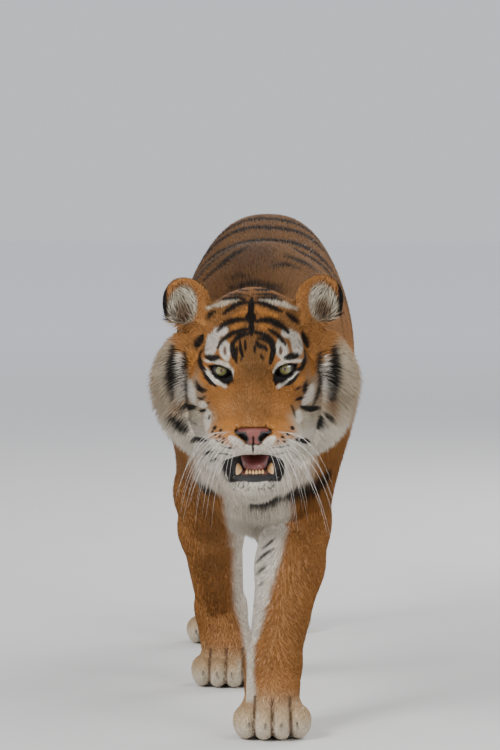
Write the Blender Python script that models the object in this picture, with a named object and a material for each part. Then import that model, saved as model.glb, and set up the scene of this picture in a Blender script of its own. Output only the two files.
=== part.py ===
# A life-size adult tiger in mid stride, head low and mouth a little open, as a museum
# would show it. The whole animal is shaped once, as flesh blended round named joints,
# and is then parted into its nodes with thin flat cuts.
#
# Directions: the tiger walks towards -Y, +X is its left side, +Z is up, and the floor
# is at Z = 0. Shapes are laid out from a point under the withers, at Y = 0, and the
# finished animal is moved so that its box stands centred on the origin.

import math

import bmesh
import bpy
import numpy as np
from mathutils import Euler, Matrix, Vector

# ---------------------------------------------------------------- sizes, in metres

GAP = 0.0003  # left between neighbouring nodes
HALF_GAP = GAP / 2
FLOOR = 0.0  # the soles are planed flat here
CELL = 0.0085  # spacing of the grid that the flesh is sampled on
FAR = 0.2  # distance given to points that no muscle reaches
REACH = 0.02  # how far past its blend a muscle is worked out
BARELY_INSIDE = -1e-6
NUDGE = 0.0008  # step for the flesh's slope
WHOLE_TRIANGLES = 3950  # of the animal before it is parted
DETAIL = 1.0  # how strongly head and paws keep their triangles
HEAD_SHARE = 0.80  # of that strength, for the head
PAW_SHARE = 0.60  # of it, for paws and tail
CRUMB = 20  # a loose piece with fewer points is dropped
TOUCHING = 0.00002  # points nearer than this become one

# Head: its own axes are across, ahead (to the nose) and above, from between the eyes
HEAD_POINT = (-0.004, -0.545, 0.701)
HEAD_PITCH = math.radians(14.0)
HEAD_ROLL = math.radians(1.2)
EYE_PLACE = (0.0600, 0.008, 0.006)
EYE_RADIUS = 0.0185
MOUTH_BACK = (0, 0.044, -0.141)
MOUTH_FRONT = (0, 0.150, -0.142)
MOUTH_RADII = (0.010, 0.0245)
MOUTH_WIDTH = 2.1  # times its height

# Trunk and neck: how far along, height of the widest level, rise above it, drop below
# it, and half width
TRUNK = (
    (-0.44, 0.635, 0.130, 0.150, 0.105),
    (-0.34, 0.640, 0.168, 0.195, 0.140),
    (-0.24, 0.640, 0.215, 0.235, 0.152),
    (-0.12, 0.640, 0.262, 0.262, 0.150),
    (-0.02, 0.640, 0.282, 0.262, 0.155),
    (0.12, 0.638, 0.272, 0.250, 0.168),
    (0.30, 0.640, 0.255, 0.240, 0.184),
    (0.48, 0.650, 0.259, 0.238, 0.190),
    (0.64, 0.672, 0.271, 0.232, 0.178),
    (0.78, 0.700, 0.259, 0.210, 0.158),
    (0.90, 0.720, 0.226, 0.180, 0.136),
    (1.00, 0.735, 0.162, 0.130, 0.098),
    (1.06, 0.745, 0.095, 0.075, 0.052),
)

BOXY = 2.45  # how square the trunk is across, where 2 would be an ellipse

# Fore legs: shoulder, elbow, wrist and knuckles, with the flesh's radius at each
FORE_LEFT = {
    "shoulder": (0.100, -0.205, 0.620),
    "elbow": (0.073, -0.165, 0.376),
    "wrist": (0.030, -0.362, 0.128),
    "knuckles": (0.028, -0.432, 0.052),
    "turn": math.radians(3.0),
}
FORE_RIGHT = {
    "shoulder": (-0.100, -0.130, 0.600),
    "elbow": (-0.110, 0.085, 0.412),
    "wrist": (-0.088, 0.282, 0.158),
    "knuckles": (-0.072, 0.264, 0.052),
    "turn": math.radians(-4.0),
}
FORE_RADII = {
    "blade": 0.070, "shoulder": 0.082, "elbow": 0.071, "forearm": 0.066, "wrist": 0.050,
    "knuckles": 0.048,
}
BLADE = (0.082, 0.135, 0.775)  # top of the shoulder blade: across, behind the shoulder, up
FORE_PAW = {"width": 0.148, "toe": (0.0240, 0.046, 0.034), "reach": 0.046, "arc": 0.068}

TOE_SPLAY = 14  # degrees between the outer toes' headings

# Hind legs: hip, knee, hock and knuckles
HIND_LEFT = {
    "hip": (0.078, 0.860, 0.680),
    "knee": (0.090, 0.812, 0.398),
    "hock": (0.058, 1.115, 0.262),
    "knuckles": (0.028, 1.118, 0.050),
    "turn": math.radians(4.0),
}
HIND_RIGHT = {
    "hip": (-0.078, 0.860, 0.680),
    "knee": (-0.108, 0.722, 0.432),
    "hock": (-0.116, 1.020, 0.240),
    "knuckles": (-0.116, 0.938, 0.050),
    "turn": math.radians(-5.0),
}
HIND_RADII = {"hip": 0.105, "knee": 0.072, "calf": 0.060, "hock": 0.038, "knuckles": 0.041}
HIND_PAW = {"width": 0.126, "toe": (0.0205, 0.040, 0.031), "reach": 0.044, "arc": 0.068}

# Tail: it drops from the rump and its last third lifts
TAIL_START = (0.0, 1.005, 0.830)
TAIL_LENGTH = 0.98
TAIL_RADII = (0.056, 0.034, 0.026)  # at the root, past the root, at the tip
TAIL_STEPS = 14
TAIL_DROP = math.radians(-62.0)  # its steepest fall
TAIL_LIFT = math.radians(42.0)  # its slope at the tip
TAIL_SWING = 0.045  # how far it hangs to the side

# Where the body is parted: planes as a point and a normal, blocks as two corners
LEG_TOP = 0.335  # below this level only legs are left
HEAD_CUT = ((0.0, -0.375, 0.66), (0.0, -1.0, -0.22))
NECK_CUT = ((0.0, -0.235, 0.68), (0.0, -0.95, 0.30))
LOIN_CUT = 0.30
RUMP_CUT = 0.68
SHOULDER_BLOCK = ((0.048, -0.40, 0.30), (0.30, 0.16, 0.56))
THIGH_BLOCK = ((0.040, 0.58, 0.30), (0.30, 1.30, 0.62))
TAIL_BLOCK = ((-0.3, 1.095, 0.33), (0.3, 2.3, 1.1))
TAIL_PARTS = (5, 10)  # the steps of the tail where it is cut in three
PAW_TOPS = {"fore": 0.100, "hind": 0.098}
JAW_BLOCK = ((-0.100, 0.004, -0.300), (0.100, 0.200, -0.150))
EAR_BLOCK = ((-0.075, -0.060, -0.040), (0.075, 0.060, 0.120))
EAR_PLACE = (0.121, -0.108, 0.091)
EAR_TURN = (8, 24, 12)  # in degrees, for the left ear
NOSE_BLOCK = ((-0.0390, 0.126, -0.098), (0.0390, 0.200, -0.056))

# Inside the mouth
TONGUE_PLACE = (0, 0.060, -0.148)
TONGUE_RADII = (0.025, 0.052, 0.013)
CANINE = {
    "place": (0.0270, 0.107, -0.169), "height": 0.030, "radius": 0.0070, "tip": 0.4,
    "lean": math.radians(12.0),
}
INCISORS = {
    "place": (0, 0.124, -0.164), "count": 6, "spread": 0.0055, "radius": 0.0032, "height": 0.011,
    "gum": 0.7,
}

# Colour and roughness of each kind of node, matched by the start of its name
FINISHES = (
    ("eye", (0.42, 0.40, 0.12), 0.10),
    ("tongue", (0.50, 0.16, 0.12), 0.45),
    ("canine", (0.78, 0.62, 0.34), 0.30),
    ("incisors", (0.80, 0.66, 0.42), 0.30),
    ("nose", (0.45, 0.16, 0.13), 0.50),
    ("lower_jaw", (0.72, 0.66, 0.56), 0.85),
    ("ear", (0.60, 0.50, 0.38), 0.90),
    ("forepaw", (0.70, 0.52, 0.32), 0.85),
    ("hindpaw", (0.70, 0.56, 0.38), 0.85),
    ("neck", (0.58, 0.26, 0.08), 0.90),
    ("", (0.55, 0.24, 0.07), 0.85),
)


# ---------------------------------------------------------------- flesh

class Muscle:
    """One rounded mass of flesh, or a hollow cut in it: a signed distance and its box."""

    def __init__(self, distance, low, high, blend, hollow=False):
        self.distance = distance
        self.low = np.array(low, float)
        self.high = np.array(high, float)
        self.blend = blend
        self.hollow = hollow


def smooth_min(a, b, blend):
    near = np.maximum(blend - np.abs(a - b), 0.0) / blend
    return np.minimum(a, b) - near * near * blend / 4


def flesh_at(points, muscles):
    """Signed distance to the blended flesh, below zero inside it."""
    value = np.full(len(points), FAR)
    for m in muscles:
        pad = m.blend + REACH
        near = np.all((points > m.low - pad) & (points < m.high + pad), axis=1)
        if not near.any():
            continue
        d = m.distance(points[near])
        if m.hollow:
            value[near] = -smooth_min(-value[near], d, m.blend)
        else:
            value[near] = smooth_min(value[near], d, m.blend)
    return value


def ball(centre, radii, turn=(0, 0, 0), blend=0.03, hollow=False):
    """An egg-shaped mass, with its radii across, along and up, turned in degrees."""
    c = np.array(centre, float)
    r = np.array(radii, float)
    axes = np.array(Euler([math.radians(a) for a in turn]).to_matrix())

    def distance(p):
        q = (p - c) @ axes / r
        inner = np.linalg.norm(q, axis=1)
        slope = np.linalg.norm(q / r, axis=1) + 1e-9
        return inner * (inner - 1) / slope

    return Muscle(distance, c - r.max(), c + r.max(), blend, hollow)


def bone(a, b, radius_a, radius_b, blend=0.03, thin=1.0, hollow=False):
    """A tapering mass from a to b. Thin makes it narrower across than it is deep."""
    start = np.array(a, float)
    along = np.array(b, float) - start
    stretch = np.array([1 / thin, 1.0, 1.0])

    def distance(p):
        away = p - start
        t = np.clip(away @ along / (along @ along), 0, 1)
        off = (away - t[:, None] * along) * stretch
        return (np.linalg.norm(off, axis=1) - radius_a - t * (radius_b - radius_a)) * min(1, thin)

    wide = max(radius_a, radius_b) * max(1, thin)
    ends = np.array([a, b], float)
    return Muscle(distance, ends.min(0) - wide, ends.max(0) + wide, blend, hollow)


def pair(make, centre, *sizes, turn=(0, 0, 0), **more):
    """The same mass on both sides."""
    for side in (1, -1):
        x, y, z = centre
        a, b, c = turn
        yield make((side * x, y, z), *sizes, turn=(a, side * b, side * c), **more)


def bone_pair(a, b, *radii, **more):
    for side in (1, -1):
        yield bone((side * a[0], *a[1:]), (side * b[0], *b[1:]), *radii, **more)


def eased(at, stations, column):
    """A smooth curve through one column of a table of stations, Hermite between rows."""
    table = np.array(stations)
    xs, ys = table[:, 0], table[:, column]
    slopes = np.gradient(ys, xs)
    i = np.clip(np.searchsorted(xs, at) - 1, 0, len(xs) - 2)
    step = xs[i + 1] - xs[i]
    t = np.clip((at - xs[i]) / step, 0, 1)
    return (
        ys[i] * (1 + 2 * t) * (1 - t) ** 2
        + slopes[i] * step * t * (1 - t) ** 2
        + ys[i + 1] * t * t * (3 - 2 * t)
        + slopes[i + 1] * step * t * t * (t - 1)
    )


def trunk():
    """Neck, chest, belly and rump as one barrel with its own rise, drop and width."""

    def distance(p):
        level, rise, drop, half = (eased(p[:, 1], TRUNK, c) for c in (1, 2, 3, 4))
        tall = np.where(p[:, 2] > level, rise, drop)
        across = (p[:, 0] - head_lean(p[:, 1])) / half
        up = (p[:, 2] - level) / tall
        inner = (np.abs(across) ** BOXY + np.abs(up) ** BOXY) ** (1 / BOXY)
        slope = np.hypot(across / half, up / tall) / (np.hypot(across, up) + 1e-9) + 1e-9
        round_part = (inner - 1) / slope
        ends = np.maximum(TRUNK[0][0] - p[:, 1], p[:, 1] - TRUNK[-1][0])
        return np.maximum(round_part, ends)

    return Muscle(distance, (-0.2, TRUNK[0][0], 0.35), (0.2, TRUNK[-1][0], 0.98), 0.03)


def head_lean(y):
    """How far the neck has swung to the side, at a place along the body."""
    t = np.clip((-0.05 - y) / 0.45, 0, 1)
    return HEAD_POINT[0] * t * t * (3 - 2 * t)


# ---------------------------------------------------------------- head

def head_axes():
    """The head's own axes, one in each row: across, ahead and above."""
    c, s = math.cos(HEAD_PITCH), math.sin(HEAD_PITCH)
    level = np.array([(1, 0, 0), (0, -c, -s), (0, -s, c)], float)
    return level @ np.array(Matrix.Rotation(HEAD_ROLL, 3, "Y"))


def head_to_body(points):
    return np.array(points, float) @ head_axes() + HEAD_POINT


def on_head(muscle):
    """The same muscle, with its place read along the head's own axes."""
    corners = np.array(
        [(x, y, z) for x in (muscle.low[0], muscle.high[0])
         for y in (muscle.low[1], muscle.high[1])
         for z in (muscle.low[2], muscle.high[2])]
    )
    placed = head_to_body(corners)
    local = muscle.distance
    return Muscle(
        lambda p: local((p - HEAD_POINT) @ head_axes().T),
        placed.min(0), placed.max(0), muscle.blend, muscle.hollow,
    )


def head_muscles():
    """Skull, brow, cheeks, ruff, muzzle, lower jaw and ears, along the head's own axes."""
    shapes = [
        ball((0, -0.118, 0.008), (0.106, 0.116, 0.108), blend=0.04),  # braincase
        ball((0, -0.060, 0.023), (0.084, 0.076, 0.065), blend=0.04),  # forehead
        ball((0, -0.095, -0.118), (0.114, 0.110, 0.098), blend=0.04),  # throat
        bone((0, -0.008, -0.010), (0, 0.110, -0.077), 0.058, 0.042, blend=0.030, thin=0.86),  # bridge
        ball((0, 0.129, -0.082), (0.036, 0.026, 0.024), blend=0.014),  # nose
        ball((0, 0.130, -0.105), (0.030, 0.032, 0.021), blend=0.018),  # upper lip's middle
    ]
    shapes += pair(ball, (0.056, -0.106, 0.060), (0.046, 0.056, 0.044), blend=0.025)
    shapes += pair(ball, (0.052, -0.004, 0.030), (0.036, 0.032, 0.020), turn=(0, 20, 0), blend=0.03)
    shapes += pair(ball, (0.046, 0.034, -0.058), (0.038, 0.066, 0.046), blend=0.03)
    shapes += pair(ball, (0.078, -0.040, -0.046), (0.054, 0.072, 0.064), blend=0.035)
    shapes += pair(ball, (0.108, -0.112, -0.066), (0.084, 0.064, 0.120), turn=(0, 6, 0), blend=0.035)
    shapes += pair(ball, (0.122, -0.080, -0.050), (0.044, 0.060, 0.080), turn=(0, 6, 0), blend=0.035)
    shapes += pair(ball, (0.098, -0.085, -0.122), (0.060, 0.066, 0.076), turn=(0, 25, 0), blend=0.03)
    shapes += pair(ball, (0.041, 0.117, -0.094), (0.043, 0.050, 0.038), turn=(0, -12, 0), blend=0.016)
    shapes += bone_pair((0.052, 0.060, -0.088), (0.064, -0.02, -0.094), 0.042, 0.054, blend=0.03)
    shapes += pair(ball, (0.061, 0.036, 0.005), (0.022, 0.016, 0.013), blend=0.008, hollow=True)  # eyes
    # the mouth, a wedge that opens forwards, then the lower jaw and chin under it
    shapes.append(
        bone(MOUTH_BACK, MOUTH_FRONT, *MOUTH_RADII, blend=0.008, thin=MOUTH_WIDTH, hollow=True)
    )
    shapes += pair(ball, (0.038, 0.110, -0.113), (0.027, 0.034, 0.016), blend=0.008)
    shapes.append(bone((0, -0.026, -0.170), (0, 0.104, -0.186), 0.052, 0.034, blend=0.014, thin=1.40))
    # ears, each a thick leaf with a cup in front
    shapes += pair(ball, (0.121, -0.108, 0.091), (0.046, 0.022, 0.056), turn=(8, 24, 12), blend=0.022)
    shapes += pair(
        ball, (0.126, -0.080, 0.099), (0.030, 0.024, 0.038), turn=(8, 24, 12), blend=0.008, hollow=True
    )
    return [on_head(s) for s in shapes]


# ---------------------------------------------------------------- legs and tail

def paw(knuckles, turn, sizes):
    """Four toes side by side on a broad pad, the middle two ahead."""
    toe_x, toe_y, toe_z = sizes["toe"]
    spread = sizes["width"] - 2 * toe_x
    heading = Matrix.Rotation(turn, 3, "Z")
    yield ball(
        Vector(knuckles) + heading @ Vector((0, 0.020, -0.022)),
        (sizes["width"] * 0.42, 0.056, 0.034), blend=0.024,
    )
    for i in range(4):
        out = i / 3 - 0.5
        back = out * out * sizes["arc"]
        place = Vector((out * spread, -sizes["reach"] + back, toe_z - 0.003 - knuckles[2]))
        tip = Vector(knuckles) + heading @ place
        root = Vector(knuckles) + heading @ Vector((out * spread * 0.72, 0.002 + back, -0.008))
        behind = tip + Vector((0, 0.006, 0.004))
        splay = math.degrees(turn) - out * TOE_SPLAY
        yield bone(root, behind, toe_z * 0.80, toe_z * 0.86, blend=0.012, thin=0.86)
        yield ball(tip, (toe_x, toe_y, toe_z), turn=(0, 0, splay), blend=0.0055)


def fore_leg(joints, side):
    r = FORE_RADII
    names = ("shoulder", "elbow", "wrist", "knuckles")
    shoulder, elbow, wrist, knuckles = (Vector(joints[n]) for n in names)
    blade = Vector((side * BLADE[0], shoulder.y + BLADE[1], BLADE[2]))
    yield bone(blade, shoulder, r["blade"], r["shoulder"], blend=0.06, thin=0.80)
    yield bone(shoulder, elbow, r["shoulder"], r["elbow"], blend=0.05, thin=0.86)
    back_arm = elbow.lerp(shoulder, 0.35) + Vector((0, 0.050, 0))
    point = elbow + (elbow - wrist).normalized() * 0.020 + Vector((0, 0.028, 0))
    yield bone(back_arm, point, 0.050, 0.036, blend=0.04, thin=0.9)
    forearm = elbow.lerp(wrist, 0.30)
    yield bone(elbow, forearm, r["elbow"], r["forearm"], blend=0.03, thin=0.94)
    yield bone(forearm, wrist, r["forearm"], r["wrist"], blend=0.03, thin=1.0)
    yield bone(wrist, knuckles, r["wrist"], r["knuckles"], blend=0.02, thin=1.12)
    heel = wrist + Vector((0, 0.030, -0.018))
    yield ball(heel, (0.026, 0.020, 0.026), blend=0.02)  # the pad behind the wrist
    dew = wrist.lerp(knuckles, 0.35) + Vector((-side * 0.040, 0.010, -0.022))
    yield ball(dew, (0.013, 0.020, 0.024), turn=(-25, 0, 0), blend=0.014)  # the dew claw's toe
    yield from paw(knuckles, joints["turn"], FORE_PAW)


def hind_leg(joints, side):
    r = HIND_RADII
    hip, knee, hock, knuckles = (Vector(joints[n]) for n in ("hip", "knee", "hock", "knuckles"))
    yield bone(hip, knee, r["hip"], r["knee"], blend=0.06, thin=0.72)
    ham = hip.lerp(knee, 0.42) + Vector((side * 0.004, 0.085, -0.010))
    yield ball(ham, (0.066, 0.092, 0.160), turn=(14, 0, 0), blend=0.06)
    calf = knee.lerp(hock, 0.34) + Vector((0, 0.022, 0.004))
    yield bone(knee, calf, r["knee"] * 0.96, r["calf"], blend=0.04, thin=0.80)
    yield bone(calf, hock, r["calf"] * 0.94, r["hock"], blend=0.03, thin=0.86)
    heel = hock + (hock - knee).normalized() * 0.020 + Vector((0, 0.006, 0.012))
    yield bone(calf.lerp(hock, 0.5), heel, 0.030, 0.024, blend=0.03, thin=0.9)
    yield bone(hock, knuckles, r["hock"] * 1.02, r["knuckles"], blend=0.02, thin=1.0)
    yield from paw(knuckles, joints["turn"], HIND_PAW)


def tail_line():
    """Points down the tail, each a step along a slope that steepens and then lifts."""
    y, z = TAIL_START[1:]
    step = TAIL_LENGTH / TAIL_STEPS
    points = [Vector(TAIL_START)]
    for i in range(TAIL_STEPS):
        t = (i + 0.5) / TAIL_STEPS
        fall = TAIL_DROP * min(1, 0.55 + 2.2 * t)
        lift = max(0.0, (t - 0.30) / 0.70)
        slope = fall + (TAIL_LIFT - TAIL_DROP) * lift ** 1.1
        y += step * math.cos(slope)
        z += step * math.sin(slope)
        points.append(Vector((TAIL_SWING * math.sin(t * math.pi * 0.6), y, z)))
    return points


def tail():
    """One even taper along the tail's line."""
    line = np.array(tail_line())
    root, body, tip = TAIL_RADII
    share = np.linspace(0, 1, len(line))
    radii = body + (root - body) * np.exp(-share * 12) - (body - tip) * share ** 3

    def distance(p):
        best = np.full(len(p), FAR)
        for i in range(len(line) - 1):
            along = line[i + 1] - line[i]
            t = np.clip((p - line[i]) @ along / (along @ along), 0, 1)
            off = np.linalg.norm(p - line[i] - t[:, None] * along, axis=1)
            best = np.minimum(best, off - radii[i] - t * (radii[i + 1] - radii[i]))
        return best

    yield Muscle(distance, line.min(0) - root, line.max(0) + root, 0.05)


def all_muscles():
    muscles = [trunk()]
    muscles += pair(ball, (0.072, 0.885, 0.735), (0.074, 0.125, 0.130), turn=(20, 0, 0), blend=0.06)
    muscles += [
        ball((0, -0.255, 0.520), (0.098, 0.075, 0.125), turn=(-18, 0, 0), blend=0.05),  # brisket
        ball((0, -0.120, 0.450), (0.085, 0.140, 0.095), blend=0.05),  # between the fore legs
        ball((0, 0.500, 0.455), (0.105, 0.200, 0.055), blend=0.05),  # loose belly
        ball((0, 0.955, 0.690), (0.100, 0.095, 0.170), turn=(6, 0, 0), blend=0.08),  # seat
    ]
    muscles += fore_leg(FORE_LEFT, 1)
    muscles += fore_leg(FORE_RIGHT, -1)
    muscles += hind_leg(HIND_LEFT, 1)
    muscles += hind_leg(HIND_RIGHT, -1)
    muscles += tail()
    muscles += head_muscles()
    return muscles


# ---------------------------------------------------------------- from flesh to mesh

def grid_axes(muscles):
    low = np.min([m.low for m in muscles if not m.hollow], axis=0) - 2 * CELL
    high = np.max([m.high for m in muscles if not m.hollow], axis=0) + 2 * CELL
    return [np.arange(a, b, CELL) for a, b in zip(low, high)]


def without_doubt(values):
    """Fills in a corner wherever two parts of the flesh would only touch along an edge."""
    values = values.copy()
    for _ in range(6):
        inside = values < 0
        found = False
        for u, v in ((0, 1), (0, 2), (1, 2)):
            corners = {}
            for du in (0, 1):
                for dv in (0, 1):
                    at = [slice(None)] * 3
                    at[u] = slice(du, du - 1 or None)
                    at[v] = slice(dv, dv - 1 or None)
                    corners[du, dv] = tuple(at)
            a, b, c, d = (inside[corners[k]] for k in ((0, 0), (0, 1), (1, 0), (1, 1)))
            rising = (a & d) & ~(b | c)
            falling = (b & c) & ~(a | d)
            for odd, outside in ((rising, ((0, 1), (1, 0))), (falling, ((0, 0), (1, 1)))):
                for k in outside:
                    values[corners[k]][odd] = BARELY_INSIDE
                found = found or odd.any()
        if not found:
            break
    return values


def surface_net(values, axes):
    """Points and quads where a sampled field crosses zero, one point for each crossed cell."""
    inside = values < 0
    shape = np.array(values.shape) - 1
    corners = [(i, j, k) for i in (0, 1) for j in (0, 1) for k in (0, 1)]
    count = np.zeros(shape, int)
    for i, j, k in corners:
        count += inside[i:i + shape[0], j:j + shape[1], k:k + shape[2]]
    crossed = (count > 0) & (count < 8)
    cells = np.argwhere(crossed)
    index = np.full(crossed.shape, -1)
    index[crossed] = np.arange(len(cells))
    total, hits = np.zeros((len(cells), 3)), np.zeros(len(cells))
    for a in corners:
        for axis in range(3):
            if a[axis]:
                continue
            b = list(a)
            b[axis] = 1
            va = values[tuple((cells + a).T)]
            vb = values[tuple((cells + b).T)]
            cut = (va < 0) != (vb < 0)
            place = np.tile(np.array(a, float), (len(cells), 1))
            place[:, axis] += va / np.where(cut, va - vb, 1)
            total[cut] += place[cut]
            hits[cut] += 1
    spots = cells + total / hits[:, None]
    columns = [np.interp(spots[:, i], np.arange(len(axes[i])), axes[i]) for i in range(3)]
    points = np.stack(columns, 1)
    quads = []
    for axis in range(3):
        u, v = (axis + 1) % 3, (axis + 2) % 3
        first = [slice(1, -1)] * 3
        second = [slice(1, -1)] * 3
        first[axis], second[axis] = slice(0, -1), slice(1, None)
        a, b = inside[tuple(first)], inside[tuple(second)]
        spot = np.argwhere(a != b)
        leaving = a[tuple(spot.T)]
        base = spot + np.array([0 if i == axis else 1 for i in range(3)])
        ring = []
        for du, dv in ((0, 0), (-1, 0), (-1, -1), (0, -1)):
            at = base.copy()
            at[:, u] += du
            at[:, v] += dv
            ring.append(index[tuple(at.T)])
        ring = np.stack(ring, 1)
        ring[~leaving] = ring[~leaving][:, ::-1]
        quads.append(ring)
    return points, np.concatenate(quads)


def settle(points, muscles, steps=3):
    """Moves each point on to the flesh's own surface."""
    for _ in range(steps):
        value = flesh_at(points, muscles)
        rises = [flesh_at(points + NUDGE * axis, muscles) - flesh_at(points - NUDGE * axis, muscles)
                 for axis in np.eye(3)]
        slope = np.stack(rises, 1) / (2 * NUDGE)
        size = (slope ** 2).sum(1) + 0.05  # kept off zero where muscles meet
        points = points - np.clip(value / size, -CELL, CELL)[:, None] * slope
    return points


def whole_animal():
    """One closed mesh of the animal, with the head kept finer than the rest."""
    muscles = all_muscles()
    axes = grid_axes(muscles)
    grid = np.stack(np.meshgrid(*axes, indexing="ij"), -1)
    values = flesh_at(grid.reshape(-1, 3), muscles).reshape(grid.shape[:3])
    points, quads = surface_net(without_doubt(values), axes)
    points = settle(points, muscles)
    mesh = bpy.data.meshes.new("whole")
    mesh.from_pydata(points.tolist(), [], quads.tolist())
    body = bpy.data.objects.new("whole", mesh)
    bpy.context.scene.collection.objects.link(body)
    keep_largest(mesh)
    rest = body.vertex_groups.new(name="rest")
    spots = np.array([v.co for v in mesh.vertices])
    along, height = spots[:, 1], spots[:, 2]
    on_head_share = np.clip((-0.36 - along) / 0.10, 0, 1) * (height > 0.42)
    on_paws = height < 0.16
    on_tail = (along > 1.12) & (height > 0.30)
    fine = on_head_share + PAW_SHARE * on_paws + PAW_SHARE * on_tail
    for i, share in enumerate(1 - np.clip(fine, 0, HEAD_SHARE)):
        rest.add([i], float(share), "REPLACE")
    thin = body.modifiers.new("thin", "DECIMATE")
    thin.ratio = WHOLE_TRIANGLES / (2 * len(mesh.polygons))
    thin.vertex_group = "rest"
    thin.vertex_group_factor = DETAIL
    return applied(body)


def keep_largest(mesh):
    """Removes any crumb that isn't joined to the mesh's largest piece."""
    work = bmesh.new()
    work.from_mesh(mesh)
    islands = loose_islands(work)
    for island in islands[1:]:
        bmesh.ops.delete(work, geom=island, context="VERTS")
    work.to_mesh(mesh)
    work.free()


def loose_islands(work):
    """The mesh's separate pieces as lists of vertices, the largest first."""
    left, islands = set(work.verts), []
    while left:
        stack, island = [left.pop()], []
        while stack:
            v = stack.pop()
            island.append(v)
            for e in v.link_edges:
                other = e.other_vert(v)
                if other in left:
                    left.remove(other)
                    stack.append(other)
        islands.append(island)
    return sorted(islands, key=len, reverse=True)


def applied(body):
    """The object with its modifiers made part of its mesh."""
    bpy.context.view_layer.update()
    graph = bpy.context.evaluated_depsgraph_get()
    mesh = bpy.data.meshes.new_from_object(body.evaluated_get(graph))
    body.modifiers.clear()
    body.vertex_groups.clear()
    body.data = mesh
    return body


# ---------------------------------------------------------------- parting

def half(body, name, point, normal):
    """The part of a body on the side that the normal points to, closed by a flat face."""
    made = copy_of(body, name)
    work = bmesh.new()
    work.from_mesh(made.data)
    n = Vector(normal).normalized()
    bmesh.ops.bisect_plane(
        work, geom=work.verts[:] + work.edges[:] + work.faces[:], dist=1e-7,
        plane_co=Vector(point) + n * HALF_GAP, plane_no=n, clear_inner=True,
    )
    rim = [e for e in work.edges if e.is_boundary]
    bmesh.ops.holes_fill(work, edges=rim, sides=0)
    bmesh.ops.triangulate(work, faces=[f for f in work.faces if len(f.verts) > 3])
    work.to_mesh(made.data)
    work.free()
    return made


def parted(body, first, second, point, normal):
    """The body's two sides of a plane, first on the side that the normal points to."""
    sides = half(body, first, point, normal), half(body, second, point, -Vector(normal))
    bpy.data.objects.remove(body)
    return sides


def copy_of(body, name):
    made = bpy.data.objects.new(name, body.data.copy())
    bpy.context.scene.collection.objects.link(made)
    return made


def islands_of(body, names_at):
    """Splits a body into its loose pieces, each named by the nearest of the given places."""
    made = []
    work = bmesh.new()
    work.from_mesh(body.data)
    work.verts.index_update()
    groups = [{v.index for v in island} for island in loose_islands(work) if len(island) > CRUMB]
    work.free()
    for group in groups:
        piece = copy_of(body, "piece")
        part = bmesh.new()
        part.from_mesh(piece.data)
        part.verts.ensure_lookup_table()
        bmesh.ops.delete(part, geom=[v for v in part.verts if v.index not in group], context="VERTS")
        part.to_mesh(piece.data)
        part.free()
        centre = sum((v.co for v in piece.data.vertices), Vector()) / len(piece.data.vertices)
        piece.name = min(names_at, key=lambda n: (Vector(names_at[n]) - centre).length)
        made.append(piece)
    bpy.data.objects.remove(body)
    return {p.name: p for p in made}


def box(name, low, high, place=Matrix()):
    """A plain block between two corners, set in place by a matrix."""
    work = bmesh.new()
    bmesh.ops.create_cube(work, size=1)
    size = Vector(high) - Vector(low)
    middle = (Vector(high) + Vector(low)) / 2
    spread = Matrix.Translation(middle) @ Matrix.Diagonal((*size, 1))
    bmesh.ops.transform(work, matrix=place @ spread, verts=work.verts)
    return from_bmesh(work, name)


def from_bmesh(work, name):
    mesh = bpy.data.meshes.new(name)
    bmesh.ops.recalc_face_normals(work, faces=work.faces)
    work.to_mesh(mesh)
    work.free()
    made = bpy.data.objects.new(name, mesh)
    bpy.context.scene.collection.objects.link(made)
    return made


def combine(body, tool, operation):
    """Body with a Boolean by the tool made part of its mesh."""
    cut = body.modifiers.new(operation.lower(), "BOOLEAN")
    cut.operation = operation
    cut.object = tool
    return applied(body)


def carved_out(body, name, low, high, place=Matrix()):
    """Takes the block's share of a body as a node of its own, with a gap all round."""
    margin = Vector((HALF_GAP,) * 3)
    inner = box("inner", Vector(low) + margin, Vector(high) - margin, place)
    outer = box("outer", Vector(low) - margin, Vector(high) + margin, place)
    taken = combine(copy_of(body, name), inner, "INTERSECT")
    rest = combine(body, outer, "DIFFERENCE")
    for tool in (inner, outer):
        bpy.data.objects.remove(tool)
    return taken, rest


def part_animal(whole):
    """Cuts the whole animal into the nodes that a person would name."""
    above = half(whole, "above", (0, 0, FLOOR - HALF_GAP), (0, 0, 1))
    bpy.data.objects.remove(whole)
    tail_all, rest = carved_out(above, "tail_all", *TAIL_BLOCK)
    part_tail(tail_all)
    upper, lower = parted(rest, "upper", "lower", (0, 0, LEG_TOP), (0, 0, 1))
    part_legs(lower)
    head, behind = parted(upper, "head", "behind", *HEAD_CUT)
    neck, behind = parted(behind, "neck", "behind", *NECK_CUT)
    chest, behind = parted(behind, "chest", "behind", (0, LOIN_CUT, 0), (0, -1, 0))
    belly, rump = parted(behind, "belly", "rump", (0, RUMP_CUT, 0), (0, -1, 0))
    for side, name in ((1, "left"), (-1, "right")):
        chest = carved_out(chest, "upper_arm_" + name, *on_side(SHOULDER_BLOCK, side))[1]
        rump = carved_out(rump, "thigh_" + name, *on_side(THIGH_BLOCK, side))[1]
    chest.name = "chest"
    rump.name = "rump"
    part_head(head)


def on_side(block, side):
    """A block's two corners, on the left as given or mirrored to the right."""
    (x0, y0, z0), (x1, y1, z1) = block
    low, high = sorted((side * x0, side * x1))
    return (low, y0, z0), (high, y1, z1)


def part_tail(tail_all):
    line = tail_line()
    rest = tail_all
    for step, name in zip(TAIL_PARTS, ("tail_base", "tail_middle")):
        along = line[step + 1] - line[step - 1]
        rest = parted(rest, name, "tail_tip", line[step], -along)[1]
    rest.name = "tail_tip"


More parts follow.
